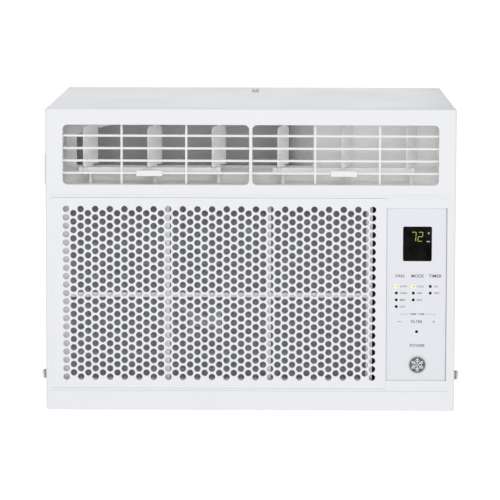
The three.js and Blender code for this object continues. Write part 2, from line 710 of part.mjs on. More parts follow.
add("fan_shroud", join(
  prismY(shroudPlate, fromFront(328), fromFront(330)),
  alongY([[110, 300], [112, 300], [112, 329], [110, 329], [110, 300]], 28),
), GALVANISED);
add("condenser_coil", coil({ ...CONDENSER, left: -CONDENSER.side, right: CONDENSER.side }), FINS);

// ---- Sealed refrigeration circuit ---------------------------------------------------------------

function compressor() {
  const { x, y, radius, low, high } = COMPRESSOR;
  const base = [[0, low], [radius - 6, low], [radius, low + 10]];
  const dome = [[radius, high - 24], [radius - 8, high - 8], [radius - 24, high], [0, high]];
  const shell = turned([...base, ...dome], 20);
  const feet = footPlaces().map(([fx, fy]) => prismZ(ring(fx, fy, 10, 10), low - 3, low));
  const plate = prismZ(polygon(footPlaces()), low - 3, low + 0.5);
  const holes = footPlaces().map(([fx, fy]) => prismZ(ring(fx, fy, 4.4, 8), low - 5, low + 5));
  return cut(join(shell, plate, ...feet), ...holes).translate(x, fromFront(y), 0);
}

function footPlaces() {
  return [90, 210, 330].map((degrees) => {
    const a = THREE.MathUtils.degToRad(degrees);
    return [FOOT_CIRCLE * Math.cos(a), FOOT_CIRCLE * Math.sin(a)];
  });
}

add("compressor", compressor(), ENAMEL);
footPlaces().forEach(([fx, fy], i) => {
  const pan = STEEL + FIT;
  const foot = COMPRESSOR.low - 3;
  const profile = [[0, pan], [8.5, pan], [8.5, foot - FIT], [4, foot - FIT], [4, foot + 6], [0, foot + 6]];
  const grommet = add(`compressor_grommet_${i + 1}`, turned(profile, 12), RUBBER);
  grommet.position.set(COMPRESSOR.x + fx, fromFront(COMPRESSOR.y) + fy, 0);
});

const ACCUMULATOR = [208, 296];
add("accumulator", turned([[0, 70], [8, 72], [16, 82], [16, 168], [8, 180], [0, 182]], 14)
  .translate(ACCUMULATOR[0], fromFront(ACCUMULATOR[1]), 0), COPPER);
// The lines' points are [x, distance behind the front face, z].
const line = (points, radius) => tube(points.map(([x, y, z]) => [x, fromFront(y), z]), radius);
add("suction_line", line([
  [208, 296, 182.6], [208, 296, 215], [206, 280, 246], [204, 240, 250], [204, 161.7, 250], [204, 110, 250],
  [190, 86, 250], [164, 84, 249], [146, 76, 243], [144, 48, 232],
], 4.5), COPPER);
add("discharge_line", line([
  [150, 235, 226.4], [150, 235, 256], [156, 250, 274], [180, 290, 280], [222, 312, 282], [223, 322, 300],
], 3.6), COPPER);
add("filter_drier", turned([[0, 236], [5, 238], [9, 246], [9, 306], [5, 314], [0, 316]], 12)
  .translate(221, fromFront(195), 0), COPPER);
add("capillary_tube", line([
  [221, 195, 235.6], [220, 188, 226], [216, 175, 222], [216, 161.7, 222], [216, 120, 222], [190, 86, 216],
  [160, 80, 212], [148, 70, 205], [144, 50, 200],
], 1.8), COPPER);

export default root;
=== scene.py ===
"""The looks of a window air conditioner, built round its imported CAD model.

Shapes are drawn in millimetres, with x to the right, y measured back from the front face and z up from the
underside, and PLACE puts them into the frame.
"""

import json
import math

import bmesh
import bpy
from mathutils import Matrix, Vector


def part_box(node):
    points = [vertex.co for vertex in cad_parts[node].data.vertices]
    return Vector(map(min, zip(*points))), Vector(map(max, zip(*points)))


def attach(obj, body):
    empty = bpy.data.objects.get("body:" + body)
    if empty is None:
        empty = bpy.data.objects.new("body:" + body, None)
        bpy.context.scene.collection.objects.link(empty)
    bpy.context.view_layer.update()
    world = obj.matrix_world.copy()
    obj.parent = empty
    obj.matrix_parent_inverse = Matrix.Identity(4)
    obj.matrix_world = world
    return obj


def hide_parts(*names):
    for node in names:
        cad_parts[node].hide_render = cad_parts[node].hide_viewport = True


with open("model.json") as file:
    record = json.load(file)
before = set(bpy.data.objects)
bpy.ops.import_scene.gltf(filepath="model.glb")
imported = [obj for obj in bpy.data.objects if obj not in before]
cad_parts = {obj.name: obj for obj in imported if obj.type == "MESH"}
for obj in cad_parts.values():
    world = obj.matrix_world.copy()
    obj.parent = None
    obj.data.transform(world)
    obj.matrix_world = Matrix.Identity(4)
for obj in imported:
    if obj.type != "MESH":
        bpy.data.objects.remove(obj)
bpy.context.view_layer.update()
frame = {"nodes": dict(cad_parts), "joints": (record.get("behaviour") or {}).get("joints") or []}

MM = 0.001
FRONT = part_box("front_frame")[0].y
PLACE = Matrix.Translation((0, FRONT, 0)) @ Matrix.Scale(MM, 4)
FROM_FRAME = PLACE.inverted()
PIVOTS = {row["name"]: FROM_FRAME @ Vector(row["pos_m"]) for row in frame["joints"] if "pos_m" in row}


def extent(node):
    """Lowest and highest corner of a CAD node at rest, in millimetres."""
    low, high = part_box(node)
    return FROM_FRAME @ low, FROM_FRAME @ high


def middle(node):
    low, high = extent(node)
    return (low + high) / 2


def at(x, y, z):
    return Matrix.Translation((x, y, z))


def turned(degrees, axis):
    return Matrix.Rotation(math.radians(degrees), 4, axis)


def add_object(name, data):
    made = bpy.data.objects.new(name, data)
    bpy.context.scene.collection.objects.link(made)
    return made


# ---- Camera, light and floor ----

CAMERA_PLACE = (0.03667, -3.84896, 0.59826)
CAMERA_TURN = 0.584  # degrees about Z, towards -X
CAMERA_DIP = 6.446
CAMERA_ROLL = 0.132
LENS = 230.7
SENSOR = 36.0


def add_camera():
    data = bpy.data.cameras.new("camera")
    data.lens = LENS
    data.sensor_width = SENSOR
    data.clip_end = 50
    camera = add_object("camera", data)
    aim = turned(CAMERA_TURN, "Z") @ turned(90 - CAMERA_DIP, "X") @ turned(CAMERA_ROLL, "Z")
    camera.matrix_world = at(*CAMERA_PLACE) @ aim
    bpy.context.scene.camera = camera


SKY = 0.40
SKY_COLOR = (0.985, 0.992, 1.0, 1)
FLOOR_GLOW = 0.90
FLOOR_REACH = 30  # metres to each side
SOFTBOXES = {
    # name: (place, size, power in watts)
    "front_softbox": ((0.15, -2.69, 2.77), 1.3, 43.0),
    "low_fill": ((0.0, -4.6, 0.9), 1.6, 24.0),
    "top_softbox": ((-0.35, 0.2, 2.6), 1.8, 9.5),
    "back_softbox": ((-0.45, 2.9, 1.3), 1.8, 9.0),
}
AIM = (0, 0, 0.17)


def add_lights():
    world = bpy.data.worlds.new("studio")
    bpy.context.scene.world = world
    world.use_nodes = True
    background = world.node_tree.nodes["Background"].inputs
    background["Color"].default_value = SKY_COLOR
    background["Strength"].default_value = SKY
    for name, (place, size, power) in SOFTBOXES.items():
        data = bpy.data.lights.new(name, "AREA")
        data.size = size
        data.energy = power
        lamp = add_object(name, data)
        lamp.location = place
        lamp.rotation_mode = "QUATERNION"
        lamp.rotation_quaternion = (Vector(AIM) - Vector(place)).to_track_quat("-Z", "Y")
    bpy.context.scene.view_settings.view_transform = "Standard"


def add_floor():
    """A pale floor that glows a little, as a white studio table lit from below does."""
    mesh = bpy.data.meshes.new("floor")
    corners = [(x * FLOOR_REACH, y * FLOOR_REACH, 0) for x, y in ((-1, -1), (1, -1), (1, 1), (-1, 1))]
    mesh.from_pydata(corners, [], [(0, 1, 2, 3)])
    mesh.materials.append(FINISHES["studio_floor"].material)
    add_object("floor", mesh)


# ---- Materials ----


class Finish:
    """A Principled material in object space, whose colour and roughness drift slowly under a fine grain."""

    def __init__(self, name, color, roughness, metallic, drift, drift_size, grain, grain_size, spread=0.06):
        self.material = bpy.data.materials.new(name)
        self.material.use_nodes = True
        self.tree = self.material.node_tree
        self.shader = self.tree.nodes["Principled BSDF"]
        self.set(Metallic=metallic)
        self.where = self.node("ShaderNodeTexCoord")["Object"]
        slow = self.noise(drift_size, 3)
        dark = [max(0.0, c * (1 - drift) - drift * 0.02) for c in color]
        light = [min(1.0, c * (1 + drift) + drift * 0.02) for c in color]
        self.color = self.ramp(slow, (0.3, dark), (0.7, light))
        self.feed("Base Color", self.color)
        self.feed("Roughness", self.share(slow, roughness - spread, roughness + spread))
        self.raised = None
        if grain:
            self.raise_by(self.noise(grain_size), grain)

    def node(self, kind, inputs=(), **settings):
        """Adds a node, gives each input its value or link, and returns the outputs."""
        made = self.tree.nodes.new(kind)
        for key, value in settings.items():
            setattr(made, key, value)
        for key, value in dict(inputs).items():
            if isinstance(value, bpy.types.NodeSocket):
                self.tree.links.new(value, made.inputs[key])
            else:
                made.inputs[key].default_value = value
        return made.outputs

    def feed(self, socket, source):
        self.tree.links.new(source, self.shader.inputs[socket])

    def set(self, **sockets):
        for key, value in sockets.items():
            self.shader.inputs[key.replace("_", " ")].default_value = value

    def noise(self, size, detail=2, where=None):
        """Noise whose features are about size millimetres across."""
        inputs = {"Vector": where or self.where, "Scale": 1 / (size * MM), "Detail": detail}
        return self.node("ShaderNodeTexNoise", {**inputs, "Roughness": 0.55})["Fac"]

    def cells(self, size, output="Distance", feature="F1"):
        inputs = {"Vector": self.where, "Scale": 1 / (size * MM)}
        return self.node("ShaderNodeTexVoronoi", inputs, feature=feature)[output]

    def ramp(self, source, *stops):
        """Two stops, (position, colour), along source."""
        made = self.tree.nodes.new("ShaderNodeValToRGB")
        for element, (position, color) in zip(made.color_ramp.elements, stops):
            element.position = position
            element.color = (*color, 1)
        self.tree.links.new(source, made.inputs["Fac"])
        return made.outputs["Color"]

    def share(self, source, low, high):
        """Values from low to high over the middle range of a noise."""
        inputs = {"Value": source, "From Min": 0.3, "From Max": 0.7, "To Min": low, "To Max": high}
        return self.node("ShaderNodeMapRange", inputs)["Result"]

    def paint(self, factor, over):
        """Lays the colour over on the colour so far, where factor is high."""
        inputs = {"Factor": factor, "A": self.color, "B": (*over, 1)}
        self.color = self.node("ShaderNodeMix", inputs, data_type="RGBA")["Result"]
        self.feed("Base Color", self.color)

    def raise_by(self, height, depth):
        """Adds a bump of depth millimetres on top of those already there."""
        inputs = {"Strength": 1, "Distance": depth * MM, "Height": height}
        if self.raised:
            inputs["Normal"] = self.raised
        self.raised = self.node("ShaderNodeBump", inputs)["Normal"]
        self.feed("Normal", self.raised)


FINISH_TABLE = {
    # name: (colour, roughness, metallic, drift and its size, grain and its size, spread of roughness)
    "front_moulding": ((0.745, 0.75, 0.77), 0.42, 0, 0.006, 90, 0.012, 0.45),
    # The louvres' and inner mouldings' white is much paler than the front moulding's, though it is the same
    # plastic: painted light for parts that sit in the outlet's shade.
    "louvre_moulding": ((0.955, 0.955, 0.94), 0.38, 0, 0.006, 90, 0.012, 0.45),
    "filter_moulding": ((0.93, 0.93, 0.925), 0.5, 0, 0.006, 90, 0.012, 0.45),
    "inner_moulding": ((0.965, 0.965, 0.95), 0.5, 0, 0.006, 90, 0.012, 0.45),
    "fan_moulding": ((0.10, 0.105, 0.11), 0.45, 0, 0.05, 60, 0.03, 0.6),
    "panel_film": ((0.70, 0.706, 0.742), 0.3, 0, 0.002, 70, 0.005, 0.8, 0.015),
    "legend_ink": ((0.085, 0.088, 0.098), 0.5, 0, 0.06, 3, 0.004, 0.3),
    "cabinet_paint": ((0.71, 0.72, 0.735), 0.36, 0, 0.008, 120, 0.014, 2.2),
    "galvanised_steel": ((0.52, 0.522, 0.52), 0.48, 0.5, 0.04, 40, 0.004, 1.2),
    # The bulkhead's zinc is set near white, far paler than the galvanised steel: painted light for the
    # bulkhead deep behind the outlet.
    "bulkhead_zinc_painted_light": ((0.93, 0.93, 0.92), 0.55, 0.05, 0.03, 60, 0.004, 0.6),
    "bright_steel": ((0.40, 0.405, 0.41), 0.36, 0.95, 0.12, 3, 0.008, 0.25),
    # Dark steel for the side screws' lock washers: the washer's own dark finish, and also painted shade for
    # the gap under each head.
    "washer_steel_painted_shade": ((0.27, 0.273, 0.28), 0.45, 0.6, 0.1, 3, 0.006, 0.3),
    "pale_steel": ((0.74, 0.745, 0.75), 0.4, 0.25, 0.04, 3, 0.006, 0.3),
    "coil_fins": ((0.74, 0.76, 0.78), 0.4, 0.4, 0.06, 50, 0.01, 1.5),
    "copper_tube": ((0.80, 0.42, 0.26), 0.28, 1.0, 0.08, 25, 0.008, 0.5),
    "black_enamel": ((0.012, 0.013, 0.014), 0.28, 0, 0.3, 60, 0.02, 1.6),
    "rubber": ((0.018, 0.018, 0.019), 0.72, 0, 0.2, 60, 0.03, 0.35),
    "foam": ((0.88, 0.88, 0.87), 0.85, 0, 0.03, 40, 0.01, 0.5),
    # A darker copy of the foam, only for the lip inside the outlet's mouth: painted shade along its curve.
    "grey_foam_painted_shade": ((0.60, 0.60, 0.59), 0.85, 0, 0.03, 40, 0.01, 0.5),
    "filter_net": ((0.47, 0.474, 0.48), 0.55, 0, 0.12, 12, 0.01, 0.2),
    "circuit_board": ((0.03, 0.17, 0.07), 0.35, 0, 0.1, 8, 0.01, 0.8),
    "display_glass": ((0.003, 0.003, 0.0035), 0.12, 0, 0.3, 20, 0, 0, 0.02),
    "dim_marks": ((0.42, 0.42, 0.44), 0.4, 0, 0.2, 2, 0, 0),
    "lamp_lens": ((0.010, 0.012, 0.010), 0.3, 0, 0.1, 1.5, 0.006, 0.3),
    "lamp_lit": ((0.16, 0.17, 0.06), 0.3, 0, 0.1, 1.5, 0.006, 0.3),
    "lamp_chip": ((0.10, 0.10, 0.03), 0.3, 0, 0.1, 1.5, 0.006, 0.3),
    "digits": ((0.10, 0.12, 0.02), 0.4, 0, 0.1, 2, 0, 0),
    "badge_foil": ((0.80, 0.81, 0.83), 0.42, 0.45, 0.05, 5, 0, 0),
    "badge_rim": ((0.50, 0.505, 0.51), 0.42, 0.45, 0.05, 5, 0, 0),
    "badge_ink": ((0.085, 0.088, 0.095), 0.35, 0, 0.08, 4, 0.004, 0.6),
    "studio_floor": ((0.3, 0.3, 0.3), 0.9, 0, 0.015, 60, 0, 0),
}
STAINS = {
    # name: (size and detail of the patches, how strong they get, their colour)
    "bright_steel": (1.4, 4, 0.35, (0.25, 0.25, 0.26)),
    "coil_fins": (18, 4, 0.25, (0.52, 0.54, 0.57)),
    "copper_tube": (9, 5, 0.7, (0.36, 0.18, 0.11)),
}
GLOWS = {
    # name: (size of the patches, then each stop's place and colour)
    "lamp_lit": (1.2, (0.35, (0.76, 0.80, 0.48)), (0.6, (0.912, 0.96, 0.576))),
    "lamp_chip": (1.2, (0.35, (0.11, 0.12, 0.03)), (0.6, (0.132, 0.144, 0.036))),
    "digits": (1.5, (0.3, (0.28, 0.35, 0.06)), (0.7, (0.42, 0.50, 0.12))),
}


def make_finishes():
    made = {name: Finish(name + "_finish", *row) for name, row in FINISH_TABLE.items()}
    made["panel_film"].set(Coat_Weight=0.15, Coat_Roughness=0.35)
    made["display_glass"].set(Specular_IOR_Level=0.03)
    made["studio_floor"].set(Emission_Color=(1, 1, 1, 1), Emission_Strength=FLOOR_GLOW)
    for name, (size, detail, strength, color) in STAINS.items():
        finish = made[name]
        finish.paint(finish.share(finish.noise(size, detail), 0.0, strength), color)
    for name, (size, *stops) in GLOWS.items():
        finish = made[name]
        finish.feed("Emission Color", finish.ramp(finish.noise(size), *stops))
        finish.set(Emission_Strength=1.0)
    for name in ("lamp_lens", *GLOWS):
        made[name].set(Specular_IOR_Level=0.1)
    orange_peel(made["cabinet_paint"])
    spangle(made["galvanised_steel"])
    copper_tracks(made["circuit_board"])
    for name in ("foam", "grey_foam_painted_shade"):
        bead_seams(made[name])
    for name in ("badge_foil", "badge_rim"):
        brushing(made[name])
    return made


def orange_peel(finish):
    finish.raise_by(finish.noise(0.5), 0.003)


def spangle(finish):
    """Angular zinc patches a few millimetres across, each at its own brightness."""
    size = 4.5
    parts = finish.node("ShaderNodeSeparateColor", {"Color": finish.cells(size, "Color")})
    finish.paint(finish.share(parts["Red"], 0.0, 0.3), (0.61, 0.612, 0.61))
    finish.raise_by(finish.cells(size), 0.002)


def bead_seams(finish):
    """Faint seams between close-packed 3 mm beads."""
    finish.raise_by(finish.cells(3.2, feature="DISTANCE_TO_EDGE"), 0.03)


def copper_tracks(finish):
    """Tracks that just show through green solder mask."""
    inputs = {"Vector": finish.where, "Scale": math.pi / (30 * MM), "Distortion": 3.0}
    waves = finish.node("ShaderNodeTexWave", inputs, bands_direction="X", wave_profile="SIN")
    tracks = finish.ramp(waves["Fac"], (0.78, (0, 0, 0)), (0.84, (0.45, 0.45, 0.45)))
    finish.paint(tracks, (0.08, 0.30, 0.12))


def brushing(finish):
    inputs = {"Vector": finish.where, "Scale": (1, 1, 12)}
    finish.raise_by(finish.noise(0.4, where=finish.node("ShaderNodeMapping", inputs)["Vector"]), 0.01)


# ---- Building meshes ----

ALONG_Y = turned(-90, "X")  # a lathe's height runs back, along +Y
ALONG_X = turned(90, "Y")


def rounded(x0, x1, z0, z1, r, steps=6):
    """Corner points of a rectangle in (x, z) with rounded corners, anticlockwise."""
    r = max(r, 0.01)
    x0, x1, z0, z1 = x0 + r, x1 - r, z0 + r, z1 - r
    points = []
    for cx, cz, start in ((x1, z0, -90), (x1, z1, 0), (x0, z1, 90), (x0, z0, 180)):
        for i in range(steps + 1):
            a = math.radians(start + 90 * i / steps)
            points.append((cx + r * math.cos(a), cz + r * math.sin(a)))
    return points


def circle(x, z, radius, steps=24):
    turns = [2 * math.pi * i / steps for i in range(steps)]
    return [(x + radius * math.cos(a), z + radius * math.sin(a)) for a in turns]


def face(low, high, grow=0):
    """The limits in x and z of a box, moved outwards by grow."""
    return low.x - grow, high.x + grow, low.z - grow, high.z + grow


def upright(points, y):
    return [(x, y, z) for x, z in points]


def skin(bm, rings, ring_closed=False):
    """Skins over rings of points, any of which may be a single point, and returns their vertices."""
    loops = [[bm.verts.new(point) for point in ring] for ring in rings]
    following = loops[1:] + loops[:1] if ring_closed else loops[1:]
    for near, far in zip(loops, following):
        count = max(len(near), len(far))
        for i in range(count):
            j = (i + 1) % count
            corners = (near[i % len(near)], near[j % len(near)], far[j % len(far)], far[i % len(far)])
            bm.faces.new(tuple(dict.fromkeys(corners)))
    return loops


def loft(bm, rings):
    """A skin over rings that all have the same count, capped at both ends."""
    loops = skin(bm, rings)
    bm.faces.new(loops[0][::-1])
    bm.faces.new(loops[-1])


def prism(bm, outline, y0, y1):
    loft(bm, [upright(outline, y) for y in (y0, y1)])


def block(bm, x0, x1, y0, y1, z0, z1, edge=0.0, segments=2):
    """A box with its edges rounded by edge."""
    centre = at((x0 + x1) / 2, (y0 + y1) / 2, (z0 + z1) / 2)
    size = Matrix.Diagonal((x1 - x0, y1 - y0, z1 - z0, 1))
    made = bmesh.ops.create_cube(bm, size=1, matrix=centre @ size)
    if edge:
        edges = list({e for v in made["verts"] for e in v.link_edges})
        bmesh.ops.bevel(bm, geom=edges, offset=edge, segments=segments, profile=0.5, affect="EDGES")


def fillet(radius, steps):
    """(depth, inset) pairs of a quarter-round edge, from the face inwards."""
    depths = [radius * i / steps for i in range(steps + 1)]
    return [(depth, radius - math.sqrt(radius**2 - (radius - depth) ** 2)) for depth in depths]


def slab(bm, shape, y0, y1, edge, back_edge=0.0, steps=3):
    """A plate whose outline shape(inset) gives; its front edge is rounded by edge."""
    rings = [upright(shape(inset), y0 + depth) for depth, inset in fillet(edge, steps)]
    if back_edge:
        rings += [upright(shape(inset), y1 - depth) for depth, inset in reversed(fillet(back_edge, steps))]
    else:
        rings.append(upright(shape(0), y1))
    loft(bm, rings)


def opening(bm, shape, face, deep, edge=0.4, steps=3):
    """A cutter that goes in at y = face and leaves its mouth rounded; shape(growth) gives its outline."""
    rings = [upright(shape(edge), face - 1)]
    rings += [upright(shape(inset), face + depth) for depth, inset in fillet(edge, steps)]
    rings.append(upright(shape(0), deep))
    loft(bm, rings)


def box_shape(x0, x1, z0, z1, r):
    """Outline that shrinks by an inset, as slab wants it."""
    return lambda inset: rounded(x0 + inset, x1 - inset, z0 + inset, z1 - inset, max(r - inset, 0.05))


def hole_shape(x0, x1, z0, z1, r):
    """Outline that grows, as opening wants it."""
    return lambda growth: rounded(x0 - growth, x1 + growth, z0 - growth, z1 + growth, r + growth)


def round_hole(x, z, radius):
    return lambda growth: circle(x, z, radius + growth)


def lathe(bm, profile, place, segments):
    """Turns profile, (radius, height) pairs, about Z. One that starts off the axis is a closed ring."""
    rings = []
    for radius, height in profile:
        points = circle(0, 0, radius, segments if radius > 1e-6 else 1)
        rings.append([place @ Vector((x, y, height)) for x, y in points])
    skin(bm, rings, ring_closed=profile[0][0] > 0)


def peg(bm, profile, x, z, segments=20):
    """Turns profile about the line that runs back from (x, z)."""
    lathe(bm, profile, at(x, 0, z) @ ALONG_Y, segments)


def eased(profile, radius):
    """The same profile with each inner corner rounded by about radius."""
    steps = 4
    made = [profile[0]]
    for before, corner, after in zip(profile, profile[1:], profile[2:]):
        here = Vector(corner)
        arms = []
        for end in (before, after):
            arm = Vector(end) - here
            arms.append(here + arm.normalized() * min(radius, arm.length * 0.45))
        for t in (i / steps for i in range(steps + 1)):
            made.append(tuple(arms[0] * (1 - t) ** 2 + here * 2 * t * (1 - t) + arms[1] * t**2))
    made.append(profile[-1])
    return made


def smooth_path(points, steps=8):
    """A centripetal curve through points, with steps stretches between each pair."""
    knots = [Vector(p) for p in points]
    ends = [knots[0] * 2 - knots[1], *knots, knots[-1] * 2 - knots[-2]]
    path = []
    for a, b, c, d in zip(ends, ends[1:], ends[2:], ends[3:]):
        t1 = math.sqrt((b - a).length)
        t2 = t1 + math.sqrt((c - b).length)
        t3 = t2 + math.sqrt((d - c).length)
        for i in range(steps):
            t = t1 + (t2 - t1) * i / steps
            bc = b.lerp(c, (t - t1) / (t2 - t1))
            abc = a.lerp(b, t / t1).lerp(bc, t / t2)
            bcd = bc.lerp(c.lerp(d, (t - t2) / (t3 - t2)), (t - t1) / (t3 - t1))
            path.append(abc.lerp(bcd, (t - t1) / (t2 - t1)))
    path.append(knots[-1])
    return path


def sweep(bm, path, radius, sides):
    """A round bar along path, without twist."""
    rings = []
    heading = (path[1] - path[0]).normalized()
    side = heading.orthogonal().normalized()
    for i, point in enumerate(path):
        ahead = (path[min(i + 1, len(path) - 1)] - path[max(i - 1, 0)]).normalized()
        side = (heading.rotation_difference(ahead) @ side).normalized()
        heading = ahead
        other = heading.cross(side)
        rings.append([point + side * x + other * z for x, z in circle(0, 0, radius, sides)])
    loft(bm, rings)


def into_mesh(bm, name):
    """Turns a bmesh into a mesh whose faces all look outwards."""
    bmesh.ops.recalc_face_normals(bm, faces=bm.faces)
    mesh = bpy.data.meshes.new(name)
    bm.to_mesh(mesh)
    bm.free()
    return mesh


def merge(target, source):
    """Adds the faces of source to target."""
    mesh = into_mesh(source, "merging")
    target.from_mesh(mesh)
    bpy.data.meshes.remove(mesh)


def piece(name, bm, finish, body="chassis", cad=None, smooth=32, weighted=True):
    """Places the mesh in the frame with its finish, on its body, in place of the node cad."""
    mesh = into_mesh(bm, name)
    mesh.transform(PLACE)
    mesh.materials.append(FINISHES[finish].material)
    mesh.shade_smooth()
    mesh.set_sharp_from_angle(angle=math.radians(smooth))
    obj = add_object(name, mesh)
    if weighted:
        obj.modifiers.new("normals", "WEIGHTED_NORMAL").keep_sharp = True
    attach(obj, body)
    if cad:
        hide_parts(cad)


def repeat(target, rings, count, place):
    """Lofts rings count times round the Y axis of place."""
    for i in range(count):
        made = bmesh.new()
        loft(made, rings)
        made.transform(place @ turned(360 * i / count, "Y"))
        merge(target, made)


def turned_piece(name, profile, place, finish, cad=None, segments=32, ease=0.5, body="chassis"):
    made = bmesh.new()
    lathe(made, eased(profile, ease) if ease else profile, place, segments)
    piece(name, made, finish, body, cad)


def carve(body_bm, cutter_bm):
    """Cuts one mesh by another and returns the rest as a new bmesh."""
    solid, cutter = (add_object("carving", into_mesh(bm, "carving")) for bm in (body_bm, cutter_bm))
    modifier = solid.modifiers.new("cut", "BOOLEAN")
    modifier.operation = "DIFFERENCE"
    modifier.solver = "EXACT"
    modifier.use_self = True
    modifier.object = cutter
    shape = solid.evaluated_get(bpy.context.evaluated_depsgraph_get())
    made = bmesh.new()
    made.from_mesh(shape.to_mesh())
    shape.to_mesh_clear()
    for mesh in (solid.data, cutter.data):
        bpy.data.meshes.remove(mesh)
    bmesh.ops.remove_doubles(made, verts=made.verts, dist=1e-4)
    return made


# ---- Front frame ----

SKIN = 2.5
OUTLET = {"side": 215, "post": 1.9, "low": 260.7, "high": 329.3, "corner": 5.5}
FRAME_EDGE = 3.2  # radius round the front face
FRAME_CORNER = 1.8
SEAM = 0.02  # gap at the sides of the grille, which closes tight
HINGE_SEAM = 0.22  # and above and below it
PANEL_GAP = 0.5
WALL_BACK = 40
CHIN_BACK = 16
GROOVE = {"low": 22.8, "high": 249.3, "right": 230}


def frame_shape(low, high):
    """The frame's outline; its front edge is rounded less at the sides and not at all under the chin."""
    return lambda inset: rounded(low.x + inset * 0.75, high.x - inset * 0.75, low.z, high.z - inset,
                                 max(FRAME_CORNER - inset, 0.05))


def front_frame():
    low, high = extent("front_frame")
    inlet_low, inlet_high = extent("inlet_grille")
    film_low, film_high = extent("control_film")
    inside = SKIN + 1
    shell = bmesh.new()
    slab(shell, frame_shape(low, high), 0, WALL_BACK, FRAME_EDGE, 0.4, steps=8)
    cutters = bmesh.new()
    prism(cutters, rounded(*face(low, high, -SKIN), 2), SKIN, WALL_BACK + 1)
    block(cutters, low.x + SKIN, high.x - SKIN, CHIN_BACK, WALL_BACK + 1, -1, inside)
    for x0, x1 in ((-OUTLET["side"], -OUTLET["post"]), (OUTLET["post"], OUTLET["side"])):
        window = hole_shape(x0, x1, OUTLET["low"], OUTLET["high"], OUTLET["corner"])
        opening(cutters, window, 0, inside, edge=0.8, steps=4)
    inlet = hole_shape(inlet_low.x - SEAM, inlet_high.x + SEAM, inlet_low.z - HINGE_SEAM,
                       inlet_high.z + HINGE_SEAM, 0.5)
    opening(cutters, inlet, 0, inside, edge=0.05)
    panel = hole_shape(inlet_high.x - 3, film_high.x + PANEL_GAP, film_low.z - 0.02, film_high.z + 0.02, 0.8)
    opening(cutters, panel, 0, inside, edge=0.15)
    for z0, z1 in ((GROOVE["low"], inlet_low.z + 0.5), (inlet_high.z - 0.5, GROOVE["high"])):
        opening(cutters, hole_shape(inlet_low.x, GROOVE["right"], z0, z1, 0.7), 0, 0.4, edge=0.2)
    for z in (GROOVE["low"], GROOVE["high"]):
        block(cutters, inlet_low.x, GROOVE["right"], -1, 0.6, z - 0.08, z + 0.08)
    block(cutters, low.x - 1, low.x + inside, 9.3, 16.4, 26, 245)  # the filter's slot
    made = carve(shell, cutters)
    ledge = bmesh.new()
    prism(ledge, rounded(film_low.x - 5.3, film_high.x + 3.3, 20, 252, 1), SKIN - 0.05, 4.5)
    window = bmesh.new()
    x0, x1, z0, z1 = face(film_low, film_high, -3.2)
    prism(window, rounded(x0 + 0.5, x1, z0, z1, 1), SKIN - 1, 6)
    block(window, film_high.x - 0.8, film_high.x + PANEL_GAP, SKIN - 0.5, 4.1, film_low.z, film_high.z)
    merge(made, carve(ledge, window))
    piece("front_bezel", made, "front_moulding", cad="front_frame")


# ---- Inlet grille ----

HOLE_RADIUS = 3.72
HOLE_SIDES = 18
HOLE_LIP = 0.16
COLUMNS = 43
COLUMN_PITCH = 8.37
ROW_PITCH = 9.7
FIRST_COLUMN = -211.4
TOP_ROW = 232.6
ROWS = 21  # in every other column, and one fewer in those between
SHEET = 2.2


def hole_places():
    for i in range(COLUMNS):
        odd = i % 2
        for j in range(ROWS - odd):
            yield FIRST_COLUMN + i * COLUMN_PITCH, TOP_ROW - (j + odd / 2) * ROW_PITCH


def perforated_sheet(bm, outline):
    """A sheet of six-sided cells, each with a round hole, filled out to the rounded outline."""
    half_flat = ROW_PITCH / 2
    near = (COLUMN_PITCH**2 - half_flat**2) / (2 * COLUMN_PITCH)
    far = COLUMN_PITCH - near
    half_cell = [(far, 0), (near, half_flat), (-near, half_flat)]
    cell = [*half_cell, *((-x, -z) for x, z in half_cell)]
    corners = {}
    per_side = HOLE_SIDES // 6

    def corner(x, z, y):
        key = (round(x, 2), round(z, 2), y)
        if key not in corners:
            corners[key] = bm.verts.new((x, y, z))
        return corners[key]

    for x, z in hole_places():
        levels = ((0, HOLE_RADIUS + HOLE_LIP), (HOLE_LIP, HOLE_RADIUS), (SHEET, HOLE_RADIUS))
        loops = skin(bm, [upright(circle(x, z, radius, HOLE_SIDES), y) for y, radius in levels])
        for y, loop in ((0, loops[0]), (SHEET, loops[-1])):
            for k in range(6):
                ends = [corner(x + cell[m % 6][0], z + cell[m % 6][1], y) for m in (k, k + 1)]
                arc = [loop[(k * per_side + m) % HOLE_SIDES] for m in range(per_side, -1, -1)]
                bm.faces.new((*ends, *arc))
    border = [e for e in bm.edges if len(e.link_faces) == 1]
    rings = [upright(outline(inset), depth) for depth, inset in fillet(0.06, 3)]
    loops = skin(bm, [*rings, upright(outline(0), SHEET)])
    for y, loop in ((0, loops[0]), (SHEET, loops[-1])):
        rim = [bm.edges.get(ends) for ends in zip(loop, loop[1:] + loop[:1])]
        zigzag = [e for e in border if abs(e.verts[0].co.y - y) < 1e-6]
        bmesh.ops.triangle_fill(bm, use_beauty=True, edges=rim + zigzag)


def inlet_grille():
    low, high = extent("inlet_grille")
    made = bmesh.new()
    perforated_sheet(made, box_shape(*face(low, high), 0.9))
    rib = high.x - 6
    for x0, x1, z0, z1 in (
        (low.x + 0.2, low.x + 1.8, low.z + 1, high.z - 1),
        (rib - 1.6, rib, low.z + 1, high.z - 1),
        (low.x + 1, rib - 1, low.z + 0.2, low.z + 1.8),
        (low.x + 1, rib - 1, high.z - 1.8, high.z - 0.2),
    ):
        block(made, x0, x1, SHEET - 0.05, 7, z0, z1, edge=0.3)
    for x in (-140, 60):
        block(made, x - 6, x + 6, 5.5, 9, high.z - 6.5, high.z - 0.5, edge=0.6)
    piece("perforated_inlet_grille", made, "front_moulding", "inlet_grille", cad="inlet_grille")


# ---- Air outlet ----

